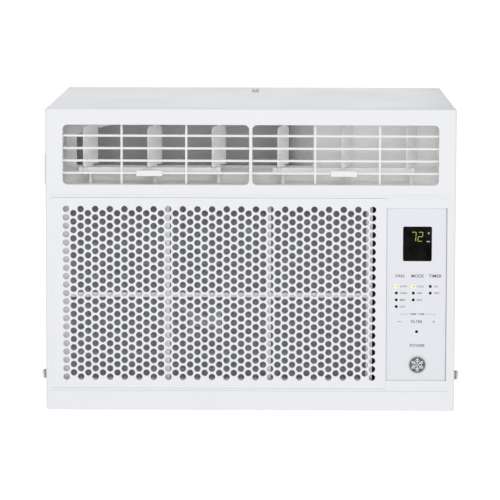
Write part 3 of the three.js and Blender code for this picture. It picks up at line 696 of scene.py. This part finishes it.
BLADE = {"chord": 30, "low": 281.4, "high": 326.4, "thick": 1.6, "corner": 6}
BANKS = {"left": (30, (1, 2, 3)), "right": (24, (4, 5, 6))}  # rest angle and louvres
CRANK = 10.4
LINK = {"low": 271.2, "high": 279, "thick": 2.2, "overhang": 7.7}
LOUVRE_PITCH = 73.9
TAB = {"wide": 30, "low": 270.4, "high": 276.8, "reach": 19.6, "thick": 1.4}


def blade_shape(inset):
    """A louvre's outline in (chord, height): square below, rounded at the top."""
    half = BLADE["chord"] / 2 - inset
    low = BLADE["low"] + inset
    outline = rounded(-half, half, low, BLADE["high"] - inset, BLADE["corner"] - inset, 8)
    corner = len(outline) // 4
    return [(-half, low), (half, low), *outline[corner:-corner]]


def louvre(name, pivot, angle):
    """A vertical vane on two pivots, with a crank arm and pin underneath for the link bar."""
    made = bmesh.new()
    slab(made, blade_shape, -BLADE["thick"] / 2, BLADE["thick"] / 2, 0.7, 0.7, steps=4)
    made.transform(turned(90, "Z"))
    for radius, z0, z1 in ((2.1, 258.4, BLADE["low"] + 1), (2.0, BLADE["high"] - 1, 332)):
        lathe(made, [(0, z0), (radius - 0.4, z0), (radius, z0 + 0.4), (radius, z1), (0, z1)], Matrix(), 20)
    block(made, -2.2, 2.2, -CRANK - 2.2, 2.2, LINK["high"] + 0.4, BLADE["low"] + 0.4, edge=0.5)
    low, high = LINK["low"] - 0.8, LINK["high"] + 1
    lathe(made, eased([(0, low), (1.4, low), (1.4, high), (0, high)], 0.4), at(0, -CRANK, 0), 16)
    made.transform(at(pivot.x, pivot.y, 0) @ turned(-angle, "Z"))
    # The vanes are in the paler louvre moulding: painted light for the shade inside the outlet.
    piece(name + "_vane", made, "louvre_moulding", name, cad=name)


def link_bar(name, centre):
    """A strip through three pins, with a finger tab that stands in front of the lowest bar."""
    made = bmesh.new()
    half = LINK["thick"] / 2
    low, high = LINK["low"], LINK["high"]
    pins = (-LOUVRE_PITCH, 0, LOUVRE_PITCH)
    starts = (pins[0] - LINK["overhang"], *(x + 2.6 for x in pins))
    stops = (*(x - 2.6 for x in pins), pins[-1] + LINK["overhang"])
    for start, stop in zip(starts, stops):
        block(made, start, stop, -half, half, low, high, edge=0.35)
    boss = [(1.8, low), (3.1, low), (3.3, low + 0.2), (3.3, high - 0.2), (3.1, high), (1.8, high)]
    for x in pins:
        lathe(made, boss, at(x, 0, 0), 24)
    block(made, -8, 8, -TAB["reach"] + 0.5, -half + 0.2, TAB["high"] - 1.4, TAB["high"], edge=0.3)
    made.transform(centre)
    # The link bar is in the paler louvre moulding: painted light for the shade inside the outlet.
    piece(name + "_moulding", made, "louvre_moulding", name, cad=name)
    tab = bmesh.new()
    block(tab, -TAB["wide"] / 2, TAB["wide"] / 2, -TAB["reach"], TAB["thick"] - TAB["reach"], TAB["low"],
          TAB["high"], edge=0.5, segments=3)
    tab.transform(centre)
    piece(name + "_finger_tab", tab, "front_moulding", name)


DUCT = {"wall": 3, "rise": 34, "level": 276, "back": 65.5}
MOUTH = {"left": -203, "right": 72, "slope_across": 56.5, "slope_down": 15.7}
NOSE = {"across": 30, "back": 34}  # the rounded lip inside the mouth's right edge


def outlet_duct():
    """The tunnel round the louvres. Its floor rises behind them and its back is open towards the blower."""
    low, high = extent("outlet_duct")
    wall, level, back = DUCT["wall"], DUCT["level"], DUCT["back"]
    floor, ceiling = low.z + wall, high.z - wall
    shell = bmesh.new()
    block(shell, low.x, high.x, low.y, high.y, low.z, high.z, edge=0.4)
    cutters = bmesh.new()
    entry = low.y - 8
    bore = [(entry, floor), (DUCT["rise"], floor), (back, level), (back, ceiling), (entry, ceiling)]
    loft(cutters, [[(x, y, z) for y, z in eased(bore, 4)] for x in (low.x + wall, high.x - wall)])
    foot, head = level + 1.5, ceiling - 1.5
    left, right = MOUTH["left"], MOUTH["right"]
    corners = [(0, foot), (right, foot), (right, head), (left + MOUTH["slope_across"], head),
               (left, head - MOUTH["slope_down"]), (left, foot), (0, foot)]
    prism(cutters, eased(corners, 2)[:-1], back - 1, high.y + 1)
    for i in range(1, 7):
        pivot = PIVOTS[f"louvre_{i}_turn"]
        hole = [(0, low.z - 1), (2.6, low.z - 1), (2.6, high.z + 1), (0, high.z + 1)]
        lathe(cutters, hole, at(pivot.x, pivot.y, 0), 20)
    # The duct is in the paler inner moulding: painted light for its shaded walls and floor.
    piece("outlet_duct_moulding", carve(shell, cutters), "inner_moulding", cad="outlet_duct")
    nose = bmesh.new()
    steps = 12
    end = back + 0.5 + NOSE["back"]
    curve = [(right - NOSE["across"] * math.sin(a), end - NOSE["back"] * math.cos(a))
             for a in (math.pi / 2 * i / steps for i in range(steps + 1))]
    loft(nose, [[(x, y, z) for x, y in [*curve, (right, end)]] for z in (foot + 0.1, head - 0.1)])
    # The lip is in the darker foam: painted shade where the mouth turns away into the dark.
    piece("outlet_mouth_nose", nose, "grey_foam_painted_shade", smooth=50)


def air_outlet():
    outlet_duct()
    for bank, (angle, numbers) in BANKS.items():
        for i in numbers:
            louvre(f"louvre_{i}", PIVOTS[f"louvre_{i}_turn"], angle)
        lead = PIVOTS[f"louvre_{numbers[1]}_turn"]
        turn = math.radians(angle)
        link_bar(f"link_bar_{bank}", at(lead.x - CRANK * math.sin(turn), lead.y - CRANK * math.cos(turn), 0))


# ---- Filter ----

STRAND = 0.5
NET_PITCH = 1.25


def filter_net():
    """Moulded net: upright strands in front, level ones welded behind them."""
    low, high = extent("filter_mesh")
    made = bmesh.new()
    r = STRAND / 2
    for level, first, last in ((False, low.x, high.x), (True, low.z, high.z)):
        count = round((last - first) / NET_PITCH)
        y = low.y + 0.1 + level * STRAND * 0.8
        for i in range(count + 1):
            a = first + (last - first) * i / count
            section = [(a - r, y), (a, y - r * 0.9), (a + r, y), (a, y + r * 0.9)]
            if level:
                loft(made, [[(x, b, z) for z, b in section] for x in (low.x, high.x)])
            else:
                loft(made, [[(x, b, z) for x, b in section] for z in (low.z, high.z)])
    piece("filter_net", made, "filter_net", "air_filter", cad="filter_mesh", weighted=False)


# ---- Control panel ----

KEY_WORDS = {
    # key: (word, cap height, width)
    "fan_key": ("FAN", 3.5, 9.8),
    "mode_key": ("MODE", 3.5, 14.0),
    "timer_key": ("TIMER", 3.5, 15.0),
    "minus_key": None,
    "filter_key": ("FILTER", 3.1, 13.2),
    "plus_key": None,
    "power_key": ("POWER", 3.4, 17.2),
}
SIGNS = {
    # key: (width, height) of each bar
    "minus_key": [(5.0, 0.45)],
    "plus_key": [(3.2, 0.45), (0.45, 3.2)],
}
LAMP_LEVELS = (144.4, 136.7, 128.8, 121.0)
LAMP_COLUMNS = {167.5: ("AUTO", "HIGH", "MED", "LOW"), 187.0: ("COOL", "FAN", "ECO"), 206.4: ("ON", "OFF")}
LAMP_PLACES = [(x, z) for x, words in LAMP_COLUMNS.items() for z in LAMP_LEVELS[: len(words)]]
LIT_LAMPS = ((167.5, 144.4), (187.0, 144.4))
LAMP_RADIUS = 1.7
LIT_RADIUS = 2.3  # a lit lens glows to its rim
KISS = 0.012  # the film is cut round each key with no gap to speak of
GLASS_SEAM = 0.05
LENS_SEAM = 0.03


def control_panel():
    low, high = extent("control_film")
    glass_low, glass_high = extent("display_window")
    caps = {name: extent(name) for name in KEY_WORDS}
    film = bmesh.new()
    slab(film, box_shape(low.x - 0.15, high.x - 0.5, low.z, high.z, 0.8), low.y, high.y, 0.12)
    holes = [(hole_shape(*face(*corners, KISS), 1.2), KISS) for corners in caps.values()]
    for x, z in [*LAMP_PLACES, filter_lamp_place()]:
        radius = LIT_RADIUS if (x, z) in LIT_LAMPS else LAMP_RADIUS
        holes.append((round_hole(x, z, radius + LENS_SEAM), LENS_SEAM))
    holes.append((hole_shape(*face(glass_low, glass_high, GLASS_SEAM), 1.9), GLASS_SEAM))
    cutters = bmesh.new()
    for hole, edge in holes:
        opening(cutters, hole, low.y, high.y + 1, edge, steps=1)
    piece("panel_film", carve(film, cutters), "panel_film", cad="control_film")
    for name, (cap_low, cap_high) in caps.items():
        cap = bmesh.new()
        slab(cap, box_shape(*face(cap_low, cap_high), 1.2), low.y, high.y, KISS, steps=1)
        start, stop = high.y - 0.2, cap_high.y
        centre = middle(name)
        peg(cap, eased([(0, start), (2, start), (2, stop), (0, stop)], 0.4), centre.x, centre.z)
        piece(name + "_cap", cap, "panel_film", name, cad=name)
    glass = bmesh.new()
    slab(glass, box_shape(*face(glass_low, glass_high), 1.8), glass_low.y, glass_high.y, 0.2)
    piece("display_glass", glass, "display_glass", cad="display_window")
    legends(low.y)
    display(glass_low.y)
    lamps(low.y)
    badge()


INK = 0.05  # how far print stands off its surface


def lettering(word, start, z, cap_height, width, face):
    """Capitals in the plane y = face, from x = start, cap_height tall and width wide."""
    data = bpy.data.curves.new("word", "FONT")
    data.body = word
    data.resolution_u = 3
    data.offset = 0.012
    writer = add_object("word", data)
    shape = writer.evaluated_get(bpy.context.evaluated_depsgraph_get())
    made = bmesh.new()
    made.from_mesh(shape.to_mesh())
    shape.to_mesh_clear()
    bpy.data.objects.remove(writer)
    bpy.data.curves.remove(data)
    left, right = (limit(v.co.x for v in made.verts) for limit in (min, max))
    foot, head = (limit(v.co.y for v in made.verts) for limit in (min, max))
    for v in made.verts:
        across = start + (v.co.x - left) * width / (right - left)
        up = z - cap_height / 2 + (v.co.y - foot) * cap_height / (head - foot)
        v.co = (across, face - INK, up)
    extruded = bmesh.ops.extrude_face_region(made, geom=list(made.faces))
    for v in [g for g in extruded["geom"] if isinstance(g, bmesh.types.BMVert)]:
        v.co.y = face + INK
    return made


def print_bar(bm, x, z, width, height, face):
    """A printed bar about (x, z)."""
    block(bm, x - width / 2, x + width / 2, face - INK, face + INK, z - height / 2, z + height / 2)


SMALL_PRINT = 2.1
RULE = {"level": 112.4, "ends": (172.2, 211.6), "gap": (182, 201.4), "thick": 0.3, "drop": 2}


def legends(face):
    for name, row in KEY_WORDS.items():
        if row:
            word, cap_height, width = row
            centre = middle(name)
            made = lettering(word, centre.x - width / 2, centre.z, cap_height, width, face)
            ink(name + "_legend", made, name)
    for name, bars in SIGNS.items():
        centre = middle(name)
        sign = bmesh.new()
        for width, height in bars:
            print_bar(sign, centre.x, centre.z, width, height, face)
        ink(name + "_legend", sign, name)
    printed = bmesh.new()
    for x, words in LAMP_COLUMNS.items():
        for z, word in zip(LAMP_LEVELS, words):
            merge(printed, lettering(word, x + 4.2, z, SMALL_PRINT, len(word) * 2.0, face))
    level, half = RULE["level"], RULE["thick"] / 2
    merge(printed, lettering("TEMP / TIME", 183.2, level, SMALL_PRINT, 17.0, face))
    for end, stop in zip(RULE["ends"], RULE["gap"]):
        print_bar(printed, (end + stop) / 2, level, abs(stop - end), RULE["thick"], face)
    for x in RULE["ends"]:
        block(printed, x - half, x + half, face - INK, face + INK, level - RULE["drop"], level + half)
    ink("panel_legends", printed, "chassis")


def ink(name, bm, body):
    piece(name, bm, "legend_ink", body, weighted=False)


SEGMENTS = {
    # each segment's two ends on a digit one unit wide and two tall
    "top": ((0, 2), (1, 2)),
    "upper_right": ((1, 1), (1, 2)),
    "lower_right": ((1, 0), (1, 1)),
    "bottom": ((0, 0), (1, 0)),
    "lower_left": ((0, 0), (0, 1)),
    "middle": ((0, 1), (1, 1)),
}
DIGITS = {
    # left edge: lit segments
    184.0: ("top", "upper_right", "lower_right"),
    191.6: ("top", "upper_right", "middle", "lower_left", "bottom"),
}
DIGIT = {"low": 196.6, "high": 207.0, "wide": 5.0, "stroke": 0.68, "lean": 0.09}


def segment(bm, ends, left, face):
    """One bar of a seven-segment digit, pointed at both ends, leaning to the right."""
    low = DIGIT["low"]
    tall = (DIGIT["high"] - low) / 2
    start, stop = [Vector((left + x * DIGIT["wide"], low + z * tall)) for x, z in ends]
    along = (stop - start).normalized() * DIGIT["stroke"] / 2
    across = Vector((-along.y, along.x))
    a, b = start + along * 0.4, stop - along * 0.4
    outline = [a, a + along - across, b - along - across, b, b - along + across, a + along + across]
    prism(bm, [(p.x + (p.y - low) * DIGIT["lean"], p.y) for p in outline], face - INK, face + INK)


def display(face):
    lit = bmesh.new()
    for left, names in DIGITS.items():
        for name in names:
            segment(lit, SEGMENTS[name], left, face)
    piece("display_digits", lit, "digits", weighted=False)
    marks = bmesh.new()
    prism(marks, [(202.6, 206.6), (205.6, 206.6), (204.1, 204.4)], face - INK, face + INK)
    print_bar(marks, 203.7, 196.3, 3.8, 1.2, face)
    piece("display_marks", marks, "dim_marks", weighted=False)


def filter_lamp_place():
    centre = middle("filter_lamp")
    return centre.x, centre.z


def lens(bm, x, z, face, back, radius=LAMP_RADIUS):
    """A peg with a domed end just proud of the film."""
    dome = [(0, face - 0.25), (radius * 0.6, face - 0.15), (radius, face + 0.15)]
    peg(bm, [*dome, (radius, back), (0, back)], x, z)


LENS_BACK = 6


def lamps(face):
    low, high = extent("light_guide")
    off, lit, chips = bmesh.new(), bmesh.new(), bmesh.new()
    block(off, low.x, high.x, 5.6, high.y, low.z, high.z, edge=0.3)
    for x, z in LAMP_PLACES:
        if (x, z) in LIT_LAMPS:
            lens(lit, x, z, face, LENS_BACK, LIT_RADIUS)
            chip = [(0, face - 0.36), (0.75, face - 0.34), (0.9, face - 0.1), (0, face - 0.1)]
            peg(chips, chip, x + 0.5, z - 0.1, 16)
        else:
            lens(off, x, z, face, LENS_BACK)
    piece("status_lamps", off, "lamp_lens", cad="light_guide")
    piece("status_lamps_lit", lit, "lamp_lit")
    piece("status_lamps_chips", chips, "lamp_chip")
    single = bmesh.new()
    lens(single, *filter_lamp_place(), face, extent("filter_lamp")[1].y)
    piece("filter_lamp_lens", single, "lamp_lens", cad="filter_lamp")


BADGE_TURNS = 6
BADGE_BAR = 0.75
BADGE_FACE = 0.25  # how far the disc lies behind the rim


def badge():
    """A plain silver-rimmed disc with a snowflake."""
    low, high = extent("badge")
    centre = middle("badge")
    radius = (high.x - low.x) / 2
    inner = radius - 1.2
    face = low.y + BADGE_FACE
    place = at(centre.x, 0, centre.z)
    disc = [(0, face), (inner, face), (inner, high.y), (0, high.y)]
    turned_piece("badge_disc", disc, place @ ALONG_Y, "badge_ink", segments=64, ease=0)
    inside = inner - 0.02
    rim = [(inside, high.y), (inside, low.y), (radius, low.y), (radius, high.y)]
    turned_piece("badge_rim", rim, place @ ALONG_Y, "badge_rim", "badge", 64, 0.35)
    foil = bmesh.new()
    half = BADGE_BAR / 2
    for i in range(BADGE_TURNS):
        arm = bmesh.new()
        block(arm, -half, half, face - 0.12, face + 0.05, 0.9, radius - 2.4)
        for side in (-1, 1):
            for reach, twig in ((3.4, 2.6), (5.6, 1.9)):
                branch = bmesh.new()
                block(branch, -half, half, face - 0.12, face + 0.05, 0, twig)
                branch.transform(at(0, 0, reach) @ turned(side * 55, "Y"))
                merge(arm, branch)
        arm.transform(place @ turned(360 * i / BADGE_TURNS, "Y"))
        merge(foil, arm)
    piece("badge_snowflake", foil, "badge_foil")


# ---- Screws ----

SHANK = 1.9
SIDE_HEIGHT = 6.1  # of a side screw's head, over its washer face
SIDE_NECK = 3.3
TOP_HEIGHT = 4
TOP_NECK = 1.45


def pan_screw(name, place, washer, head, height, length, neck):
    """A pan-head screw with a pressed washer face and a cross recess; its head points along local Z."""
    made = bmesh.new()
    under = [(0, -length), (SHANK * 0.4, -length), (SHANK, -length + 1.5), (SHANK, 0), (washer, 0),
             (washer, 0.3), (washer - 1.3, 0.45), (washer - 1.3, neck), (head - 0.1, neck + 0.05),
             (head, neck + 0.25)]
    rise = height - neck - 0.45
    crown = [(head * math.cos(a), height - rise + rise * math.sin(a)) for a in (0.0, 0.35, 0.7, 1.0, 1.25)]
    lathe(made, [*under, *crown, (0, height)], Matrix(), 32)
    recess = bmesh.new()
    for degrees in (0, 90):
        bar = bmesh.new()
        block(bar, -head * 0.55, head * 0.55, -0.55, 0.55, height - 1.3, height + 1)
        bar.transform(turned(degrees, "Z"))
        merge(recess, bar)
    made = carve(made, recess)
    made.transform(place)
    piece(name + "_head", made, "pale_steel", cad=name)


def screws():
    # A dark lock washer under each side screw's head: a real washer, and also painted shade for the shadowed
    # gap between head and frame.
    shade_washer_ring = eased([(4.35, SIDE_NECK - 0.1), (4.35, 0.5), (5.2, 0.5), (5.2, SIDE_NECK - 0.1)], 0.2)
    for name, side in (("side_screw_left", -1), ("side_screw_right", 1)):
        low, high = extent(name)
        seat = side * (max(abs(low.x), abs(high.x)) - SIDE_HEIGHT)
        centre = middle(name)
        place = at(seat, centre.y, centre.z) @ turned(side * 90, "Y")
        pan_screw(name, place, 5.6, 5.5, SIDE_HEIGHT, 7.5, SIDE_NECK)
        turned_piece(name + "_lock_washer_painted_shade", shade_washer_ring, place, "washer_steel_painted_shade", ease=0)
    centre = middle("top_screw")
    seat = extent("top_screw")[1].z - TOP_HEIGHT
    pan_screw("top_screw", at(centre.x, centre.y, seat), 4.9, 4.6, TOP_HEIGHT, 7, TOP_NECK)


# ---- Coils ----

TUBE = 3.5
TUBE_PITCH = 18
FIN = 0.14
FIN_LEAN = 0.15  # how far a fin's middle line moves, to each side in turn
BEND_CLEAR = 22  # no bend on the right lies nearer than this to a level in skip
BEND_SIDE = 6  # the CAD block's own bends reach this far past its left plate


def coil(name, fin_pitch, skip=()):
    """A finned block on copper tubes, with end plates and return bends, some of them left out at skip."""
    low, high = extent(name)
    left, right = low.x + BEND_SIDE, high.x - 0.2
    front, back = low.y + 1, high.y - 1
    fins, plates, tubes = bmesh.new(), bmesh.new(), bmesh.new()
    span = right - left - 6
    count = round(span / fin_pitch)
    for i in range(count + 1):
        x = left + 3 + span * i / count
        lean = FIN_LEAN if i % 2 else -FIN_LEAN
        centre, half = (front + back) / 2, FIN / 2
        ring = [(x - half, front), (x + lean, centre), (x - half, back), (x + half, back),
                (x + FIN + lean, centre), (x + half, front)]
        loft(fins, [[(a, b, z) for a, b in ring] for z in (low.z, high.z)])
    for x in (left, right - 1.5):
        block(plates, x, x + 1.5, low.y, high.y, low.z, high.z, edge=0.3)
    piece(name + "_end_plates", plates, "galvanised_steel")
    half = TUBE_PITCH / 2
    first_level = low.z + TUBE_PITCH * 0.7
    levels = [first_level]
    while levels[-1] + TUBE_PITCH < high.z - half:
        levels.append(levels[-1] + TUBE_PITCH)
    for share in (0.25, 0.75):
        y = front + (back - front) * share
        for z in levels:
            for made, radius, inset in ((tubes, TUBE, (-3, 2)), (fins, TUBE + 0.4, (2, -2))):
                start, stop = left + inset[0], right + inset[1]
                profile = [(0, start), (radius, start), (radius, stop), (0, stop)]
                lathe(made, profile, at(0, y, z) @ ALONG_X, 14)
        for side, x, first in ((-1, left - 2, 0), (1, right + 1, 1)):
            for z in levels[first : len(levels) - 1 : 2]:
                if side < 0 or all(abs(z + half - s) >= BEND_CLEAR for s in skip):
                    bend = [Vector((x + side * half * math.sin(a), y, z + half - half * math.cos(a)))
                            for a in (math.pi * i / 10 for i in range(11))]
                    sweep(tubes, bend, TUBE, 14)
    piece(name + "_fins", fins, "coil_fins", cad=name, weighted=False)
    piece(name + "_tubes", tubes, "copper_tube")


def bend_insulation():
    """Black tape foam over the evaporator's return bends, beside the control box."""
    low, high = extent("evaporator_coil")
    made = bmesh.new()
    block(made, high.x - 0.1, high.x + 13.8, low.y + 4.5, high.y - 4.5, low.z + 6, high.z - 3, edge=2.5,
          segments=3)
    piece("evaporator_bend_insulation", made, "rubber")


# ---- Fans and motor ----

VANES = 40
VANE = {"inner": 63.5, "deep": 13.5, "turn": 0.16, "thick": 1.3, "steps": 5}
RING_INNER = 62
BORE = 5.1
FAN_BLADES = 5
BLADE_STEPS = 8
SECTION_STEPS = 6
BLADE_PLANE = 309  # where the blades' middle lies, behind the front face
ROTOR = at(PIVOTS["fan_spin"].x, 0, PIVOTS["fan_spin"].z)
AXIS = ROTOR @ ALONG_Y


def blower_wheel():
    """A squirrel cage: back plate and hub, forward-curved vanes and a front ring."""
    low, high = extent("blower_wheel")
    radius = (high.x - low.x) / 2
    back = high.y - 6
    made = bmesh.new()
    plate = [(BORE, high.y), (13, high.y), (15, back), (radius, back), (radius, back - 3), (15, back - 3),
             (13, high.y - 22), (BORE, high.y - 22)]
    lathe(made, eased(plate, 1.2), AXIS, 72)
    ring = [(RING_INNER, low.y), (radius, low.y), (radius, low.y + 3), (RING_INNER, low.y + 3)]
    lathe(made, eased(ring, 0.8), AXIS, 72)
    arcs = []
    for thick in (0.0, VANE["thick"]):
        arcs.append([])
        for t in (k / VANE["steps"] for k in range(VANE["steps"] + 1)):
            reach = VANE["inner"] + VANE["deep"] * t
            a = VANE["turn"] * math.sin(t * math.pi * 0.5) + thick / reach
            arcs[-1].append((reach * math.cos(a), reach * math.sin(a)))
    outline = arcs[0] + arcs[1][::-1]
    repeat(made, [upright(outline, y) for y in (low.y + 2, back - 1)], VANES, ROTOR)
    piece("blower_wheel_vaned", made, "fan_moulding", "fan_rotor", cad="blower_wheel")


def blade_section(t):
    """Cambered section of a fan blade, t of the way from root to tip."""
    chord = 30 + 28 * math.sin(t * 2.2)
    pitch = math.radians(38 - 20 * t)
    swept = 9 * t * t
    reach = 21 + 76 * t
    section = []
    for side in (1, -1):
        arc = []
        for u in (m / SECTION_STEPS - 0.5 for m in range(SECTION_STEPS + 1)):
            round_off = 1 - 4 * u * u
            depth = side * 0.9 * math.sqrt(max(round_off, 0.05)) - 3.2 * round_off
            along = u * chord
            arc.append((along * math.cos(pitch) + swept, BLADE_PLANE + along * math.sin(pitch) * 0.6 + depth,
                        reach))
        section += arc[::side]
    return section


def condenser_fan():
    """A domed hub, five twisted blades and the slinger ring that throws condensate onto the coil."""
    low, high = extent("condenser_fan")
    radius = (high.x - low.x) / 2
    made = bmesh.new()
    hub = [(BORE, 296), (22, 296), (24, 299), (24, 322), (19, 322), (17, 303), (BORE, 303)]
    lathe(made, eased(hub, 1.5), AXIS, 48)
    hoop = [(radius - 14, 304), (radius - 1, 304), (radius, 305), (radius, 314), (radius - 3, 314),
            (radius - 3, 307), (radius - 14, 307)]
    lathe(made, eased(hoop, 0.8), AXIS, 96)
    repeat(made, [blade_section(k / BLADE_STEPS) for k in range(BLADE_STEPS + 1)], FAN_BLADES, ROTOR)
    piece("condenser_fan_bladed", made, "fan_moulding", "fan_rotor", cad="condenser_fan")


def motor():
    can = [(5.2, 172), (16, 172), (18, 178), (40, 179), (44, 183), (44, 205.2), (45, 205.2), (45, 206.8),
           (44, 206.8), (44, 236), (40, 240), (20, 241), (18, 248), (5.2, 248)]
    turned_piece("fan_motor_can", can, AXIS, "black_enamel", "fan_motor", 64, 1.5)
    shaft = [(0, 130), (4.4, 130), (5, 130.8), (5, 329.2), (4.4, 330), (0, 330)]
    turned_piece("motor_shaft_ground", shaft, AXIS, "bright_steel", "motor_shaft", ease=0, body="fan_rotor")


# ---- Refrigeration circuit ----

COMPRESSOR = Vector((150, 235, 0))
FEET = [COMPRESSOR + turned(a, "Z") @ Vector((64, 0, 0)) for a in (90, 210, 330)]


def compressor():
    shell = [(0, 28), (40, 28), (47, 33), (50, 42), (50, 124), (51.4, 126), (51.4, 130), (50, 132),
             (50, 196), (47, 212), (36, 222), (20, 226), (0, 226)]
    x, y, _ = COMPRESSOR
    made = bmesh.new()
    lathe(made, eased(shell, 3), at(x, y, 0), 64)
    loft(made, [[(foot.x, foot.y, z) for foot in FEET] for z in (25, 28.4)])
    for foot in FEET:
        lathe(made, [(4.4, 25), (10, 25), (10, 28), (4.4, 28)], at(*foot), 28)
    block(made, x - 14, x + 14, y - 56, y - 46, 150, 184, edge=2.5, segments=4)
    piece("compressor_shell", made, "black_enamel", cad="compressor")
    grommet = [(0, 1.5), (8.5, 1.5), (7.6, 8), (8.5, 12), (8.5, 24.7), (4, 24.7), (4, 31), (0, 31)]
    for i, foot in enumerate(FEET, 1):
        turned_piece(f"grommet_{i}", grommet, at(*foot), "rubber", f"compressor_grommet_{i}", ease=0.8)


LINES = {
    # name: (radius, points as part.mjs has them)
    "suction_line": (4.5, [
        (208, 296, 182.6), (208, 296, 215), (206, 280, 246), (204, 240, 250), (204, 161.7, 250),
        (204, 110, 250), (190, 86, 250), (164, 84, 249), (146, 76, 243), (144, 48, 232),
    ]),
    "discharge_line": (3.6, [
        (150, 235, 226.4), (150, 235, 256), (156, 250, 274), (180, 290, 280), (222, 312, 282),
        (223, 322, 300),
    ]),
    "capillary_tube": (1.8, [
        (221, 195, 235.6), (220, 188, 226), (216, 175, 222), (216, 161.7, 222), (216, 120, 222),
        (190, 86, 216), (160, 80, 212), (148, 70, 205), (144, 50, 200),
    ]),
}


def refrigerant_lines():
    for name, (radius, points) in LINES.items():
        made = bmesh.new()
        sweep(made, smooth_path(points), radius, 20)
        piece(name + "_pipe", made, "copper_tube", cad=name)
    accumulator = [(0, 70), (5, 70), (6, 74), (16, 84), (16, 166), (6, 178), (5, 182), (0, 182)]
    turned_piece("accumulator_shell", accumulator, at(208, 296, 0), "copper_tube", "accumulator", 40, 4)
    drier = [(0, 236), (3, 236), (3, 240), (9, 250), (9, 302), (3, 312), (3, 316), (0, 316)]
    turned_piece("filter_drier_shell", drier, at(221, 195, 0), "copper_tube", "filter_drier", 32, 3)


# ---- Electrics, gland and plug ----

BOARD_FACE = 12


def electrics():
    low, high = extent("control_board")
    plate = bmesh.new()
    block(plate, low.x, high.x, BOARD_FACE, high.y, low.z, high.z, edge=0.2)
    piece("control_board_plate", plate, "circuit_board", cad="control_board")
    parts = bmesh.new()
    for name in KEY_WORDS:
        centre = middle(name)
        block(parts, centre.x - 3, centre.x + 3, 9.4, BOARD_FACE, centre.z - 3, centre.z + 3, edge=0.3)
        peg(parts, [(0, 8.35), (1.6, 8.35), (1.7, 9.5), (0, 9.5)], centre.x, centre.z)
    low, high = extent("display_window")
    block(parts, low.x + 1, high.x - 1, 4.6, BOARD_FACE, low.z + 1, high.z - 1, edge=0.4)
    block(parts, 165, 177, 9.2, BOARD_FACE, 46, 62, edge=0.4)
    block(parts, 204, 216, 8.4, BOARD_FACE, 46, 54, edge=0.5)
    piece("control_board_parts", parts, "black_enamel")
    case = [(0, 40), (17, 40), (19, 42), (19, 100), (19.6, 101), (19.6, 103), (17, 105), (0, 105)]
    turned_piece("run_capacitor_can", case, at(189, 43, 0), "bright_steel", "run_capacitor", 40, 0.8)


def rubber_parts():
    seat = extent("cord_gland")[1].x - 3
    gland = [(4, -3.5), (8.6, -3.5), (8.6, -1.7), (6.9, -1.7), (6.9, 0.3), (8.8, 0.3), (7.4, 3), (4, 3)]
    centre = middle("cord_gland")
    place = at(seat, centre.y, centre.z) @ ALONG_X
    turned_piece("cord_gland_bush", gland, place, "rubber", "cord_gland", 40)
    plug = [(0, 0.3), (6, 0.3), (6, 1.5), (8, 1.5), (8, 4), (0, 4)]
    centre = middle("drain_plug")
    turned_piece("drain_plug_bung", plug, at(centre.x, centre.y, 0), "rubber", "drain_plug", ease=0.6)


# ---- Sheet metal and other CAD nodes that keep their own shape ----

CARRIED = {
    # node: (finish, edge radius in millimetres)
    "outlet_grille": ("front_moulding", 0.35),
    "release_tab": ("front_moulding", 0.3),
    "filter_frame": ("filter_moulding", 0.4),
    # The control box and the room sensor are in the paler inner moulding: painted light for their place in
    # the shade behind the front.
    "control_box": ("inner_moulding", 0.5),
    "cabinet": ("cabinet_paint", 0.3),
    "rear_guard": ("cabinet_paint", 0.3),
    "base_pan": ("galvanised_steel", 0.3),
    # The bulkhead is in the paled zinc: painted light deep inside the unit.
    "bulkhead": ("bulkhead_zinc_painted_light", 0.2),
    "motor_bracket": ("galvanised_steel", 0.3),
    "fan_shroud": ("galvanised_steel", 0.2),
    "room_sensor": ("inner_moulding", 0.4),
    "orifice_plate": ("foam", 0.3),
    "air_scroll": ("foam", 0.5),
}


def carry(name, finish, edge):
    """Keeps a CAD node's shape, rounds its edges a little and gives it a finish."""
    node = frame["nodes"][name]
    node.data.materials.clear()
    node.data.materials.append(FINISHES[finish].material)
    for polygon in node.data.polygons:
        polygon.use_smooth = True
    weld = node.modifiers.new("weld", "WELD")
    weld.merge_threshold = 0.00001
    bevel = node.modifiers.new("edges", "BEVEL")
    bevel.width = edge * MM
    bevel.segments = 2
    bevel.limit_method = "ANGLE"
    bevel.angle_limit = math.radians(40)
    node.modifiers.new("normals", "WEIGHTED_NORMAL").keep_sharp = True


VENT_LEVELS = range(70, 263, 32)
VENT_COLUMNS = ((228, 278), (288, 326))
HOOD = [(0, 10.5), (1.6, 8.5), (3.0, 4.5), (3.6, 1.2), (3.0, 1.2), (2.4, 4.5), (1.1, 7.9), (-0.4, 9.2)]


def vent_hoods():
    """Louvres pressed out of the cabinet's sides over each vent slot."""
    wall = extent("cabinet")[1].x
    made = bmesh.new()
    for side in (-1, 1):
        for y0, y1 in VENT_COLUMNS:
            for z in VENT_LEVELS:
                rings = []
                for y, share in ((y0 - 2, 0.05), (y0 + 2, 0.8), (y0 + 5, 1), (y1 - 5, 1), (y1 - 2, 0.8),
                                 (y1 + 2, 0.05)):
                    rings.append([(side * (wall + (d * share if d > 0 else d)), y, z + h) for d, h in HOOD])
                loft(made, rings)
    piece("cabinet_vent_hoods", made, "cabinet_paint", smooth=50)


FINISHES = make_finishes()
add_camera()
add_lights()
add_floor()
front_frame()
inlet_grille()
air_outlet()
filter_net()
control_panel()
screws()
coil("evaporator_coil", 1.7, skip=(200, 232))
bend_insulation()
coil("condenser_coil", 1.8)
blower_wheel()
condenser_fan()
motor()
compressor()
refrigerant_lines()
electrics()
rubber_parts()
vent_hoods()
for node_name, (finish_name, edge_radius) in CARRIED.items():
    carry(node_name, finish_name, edge_radius)
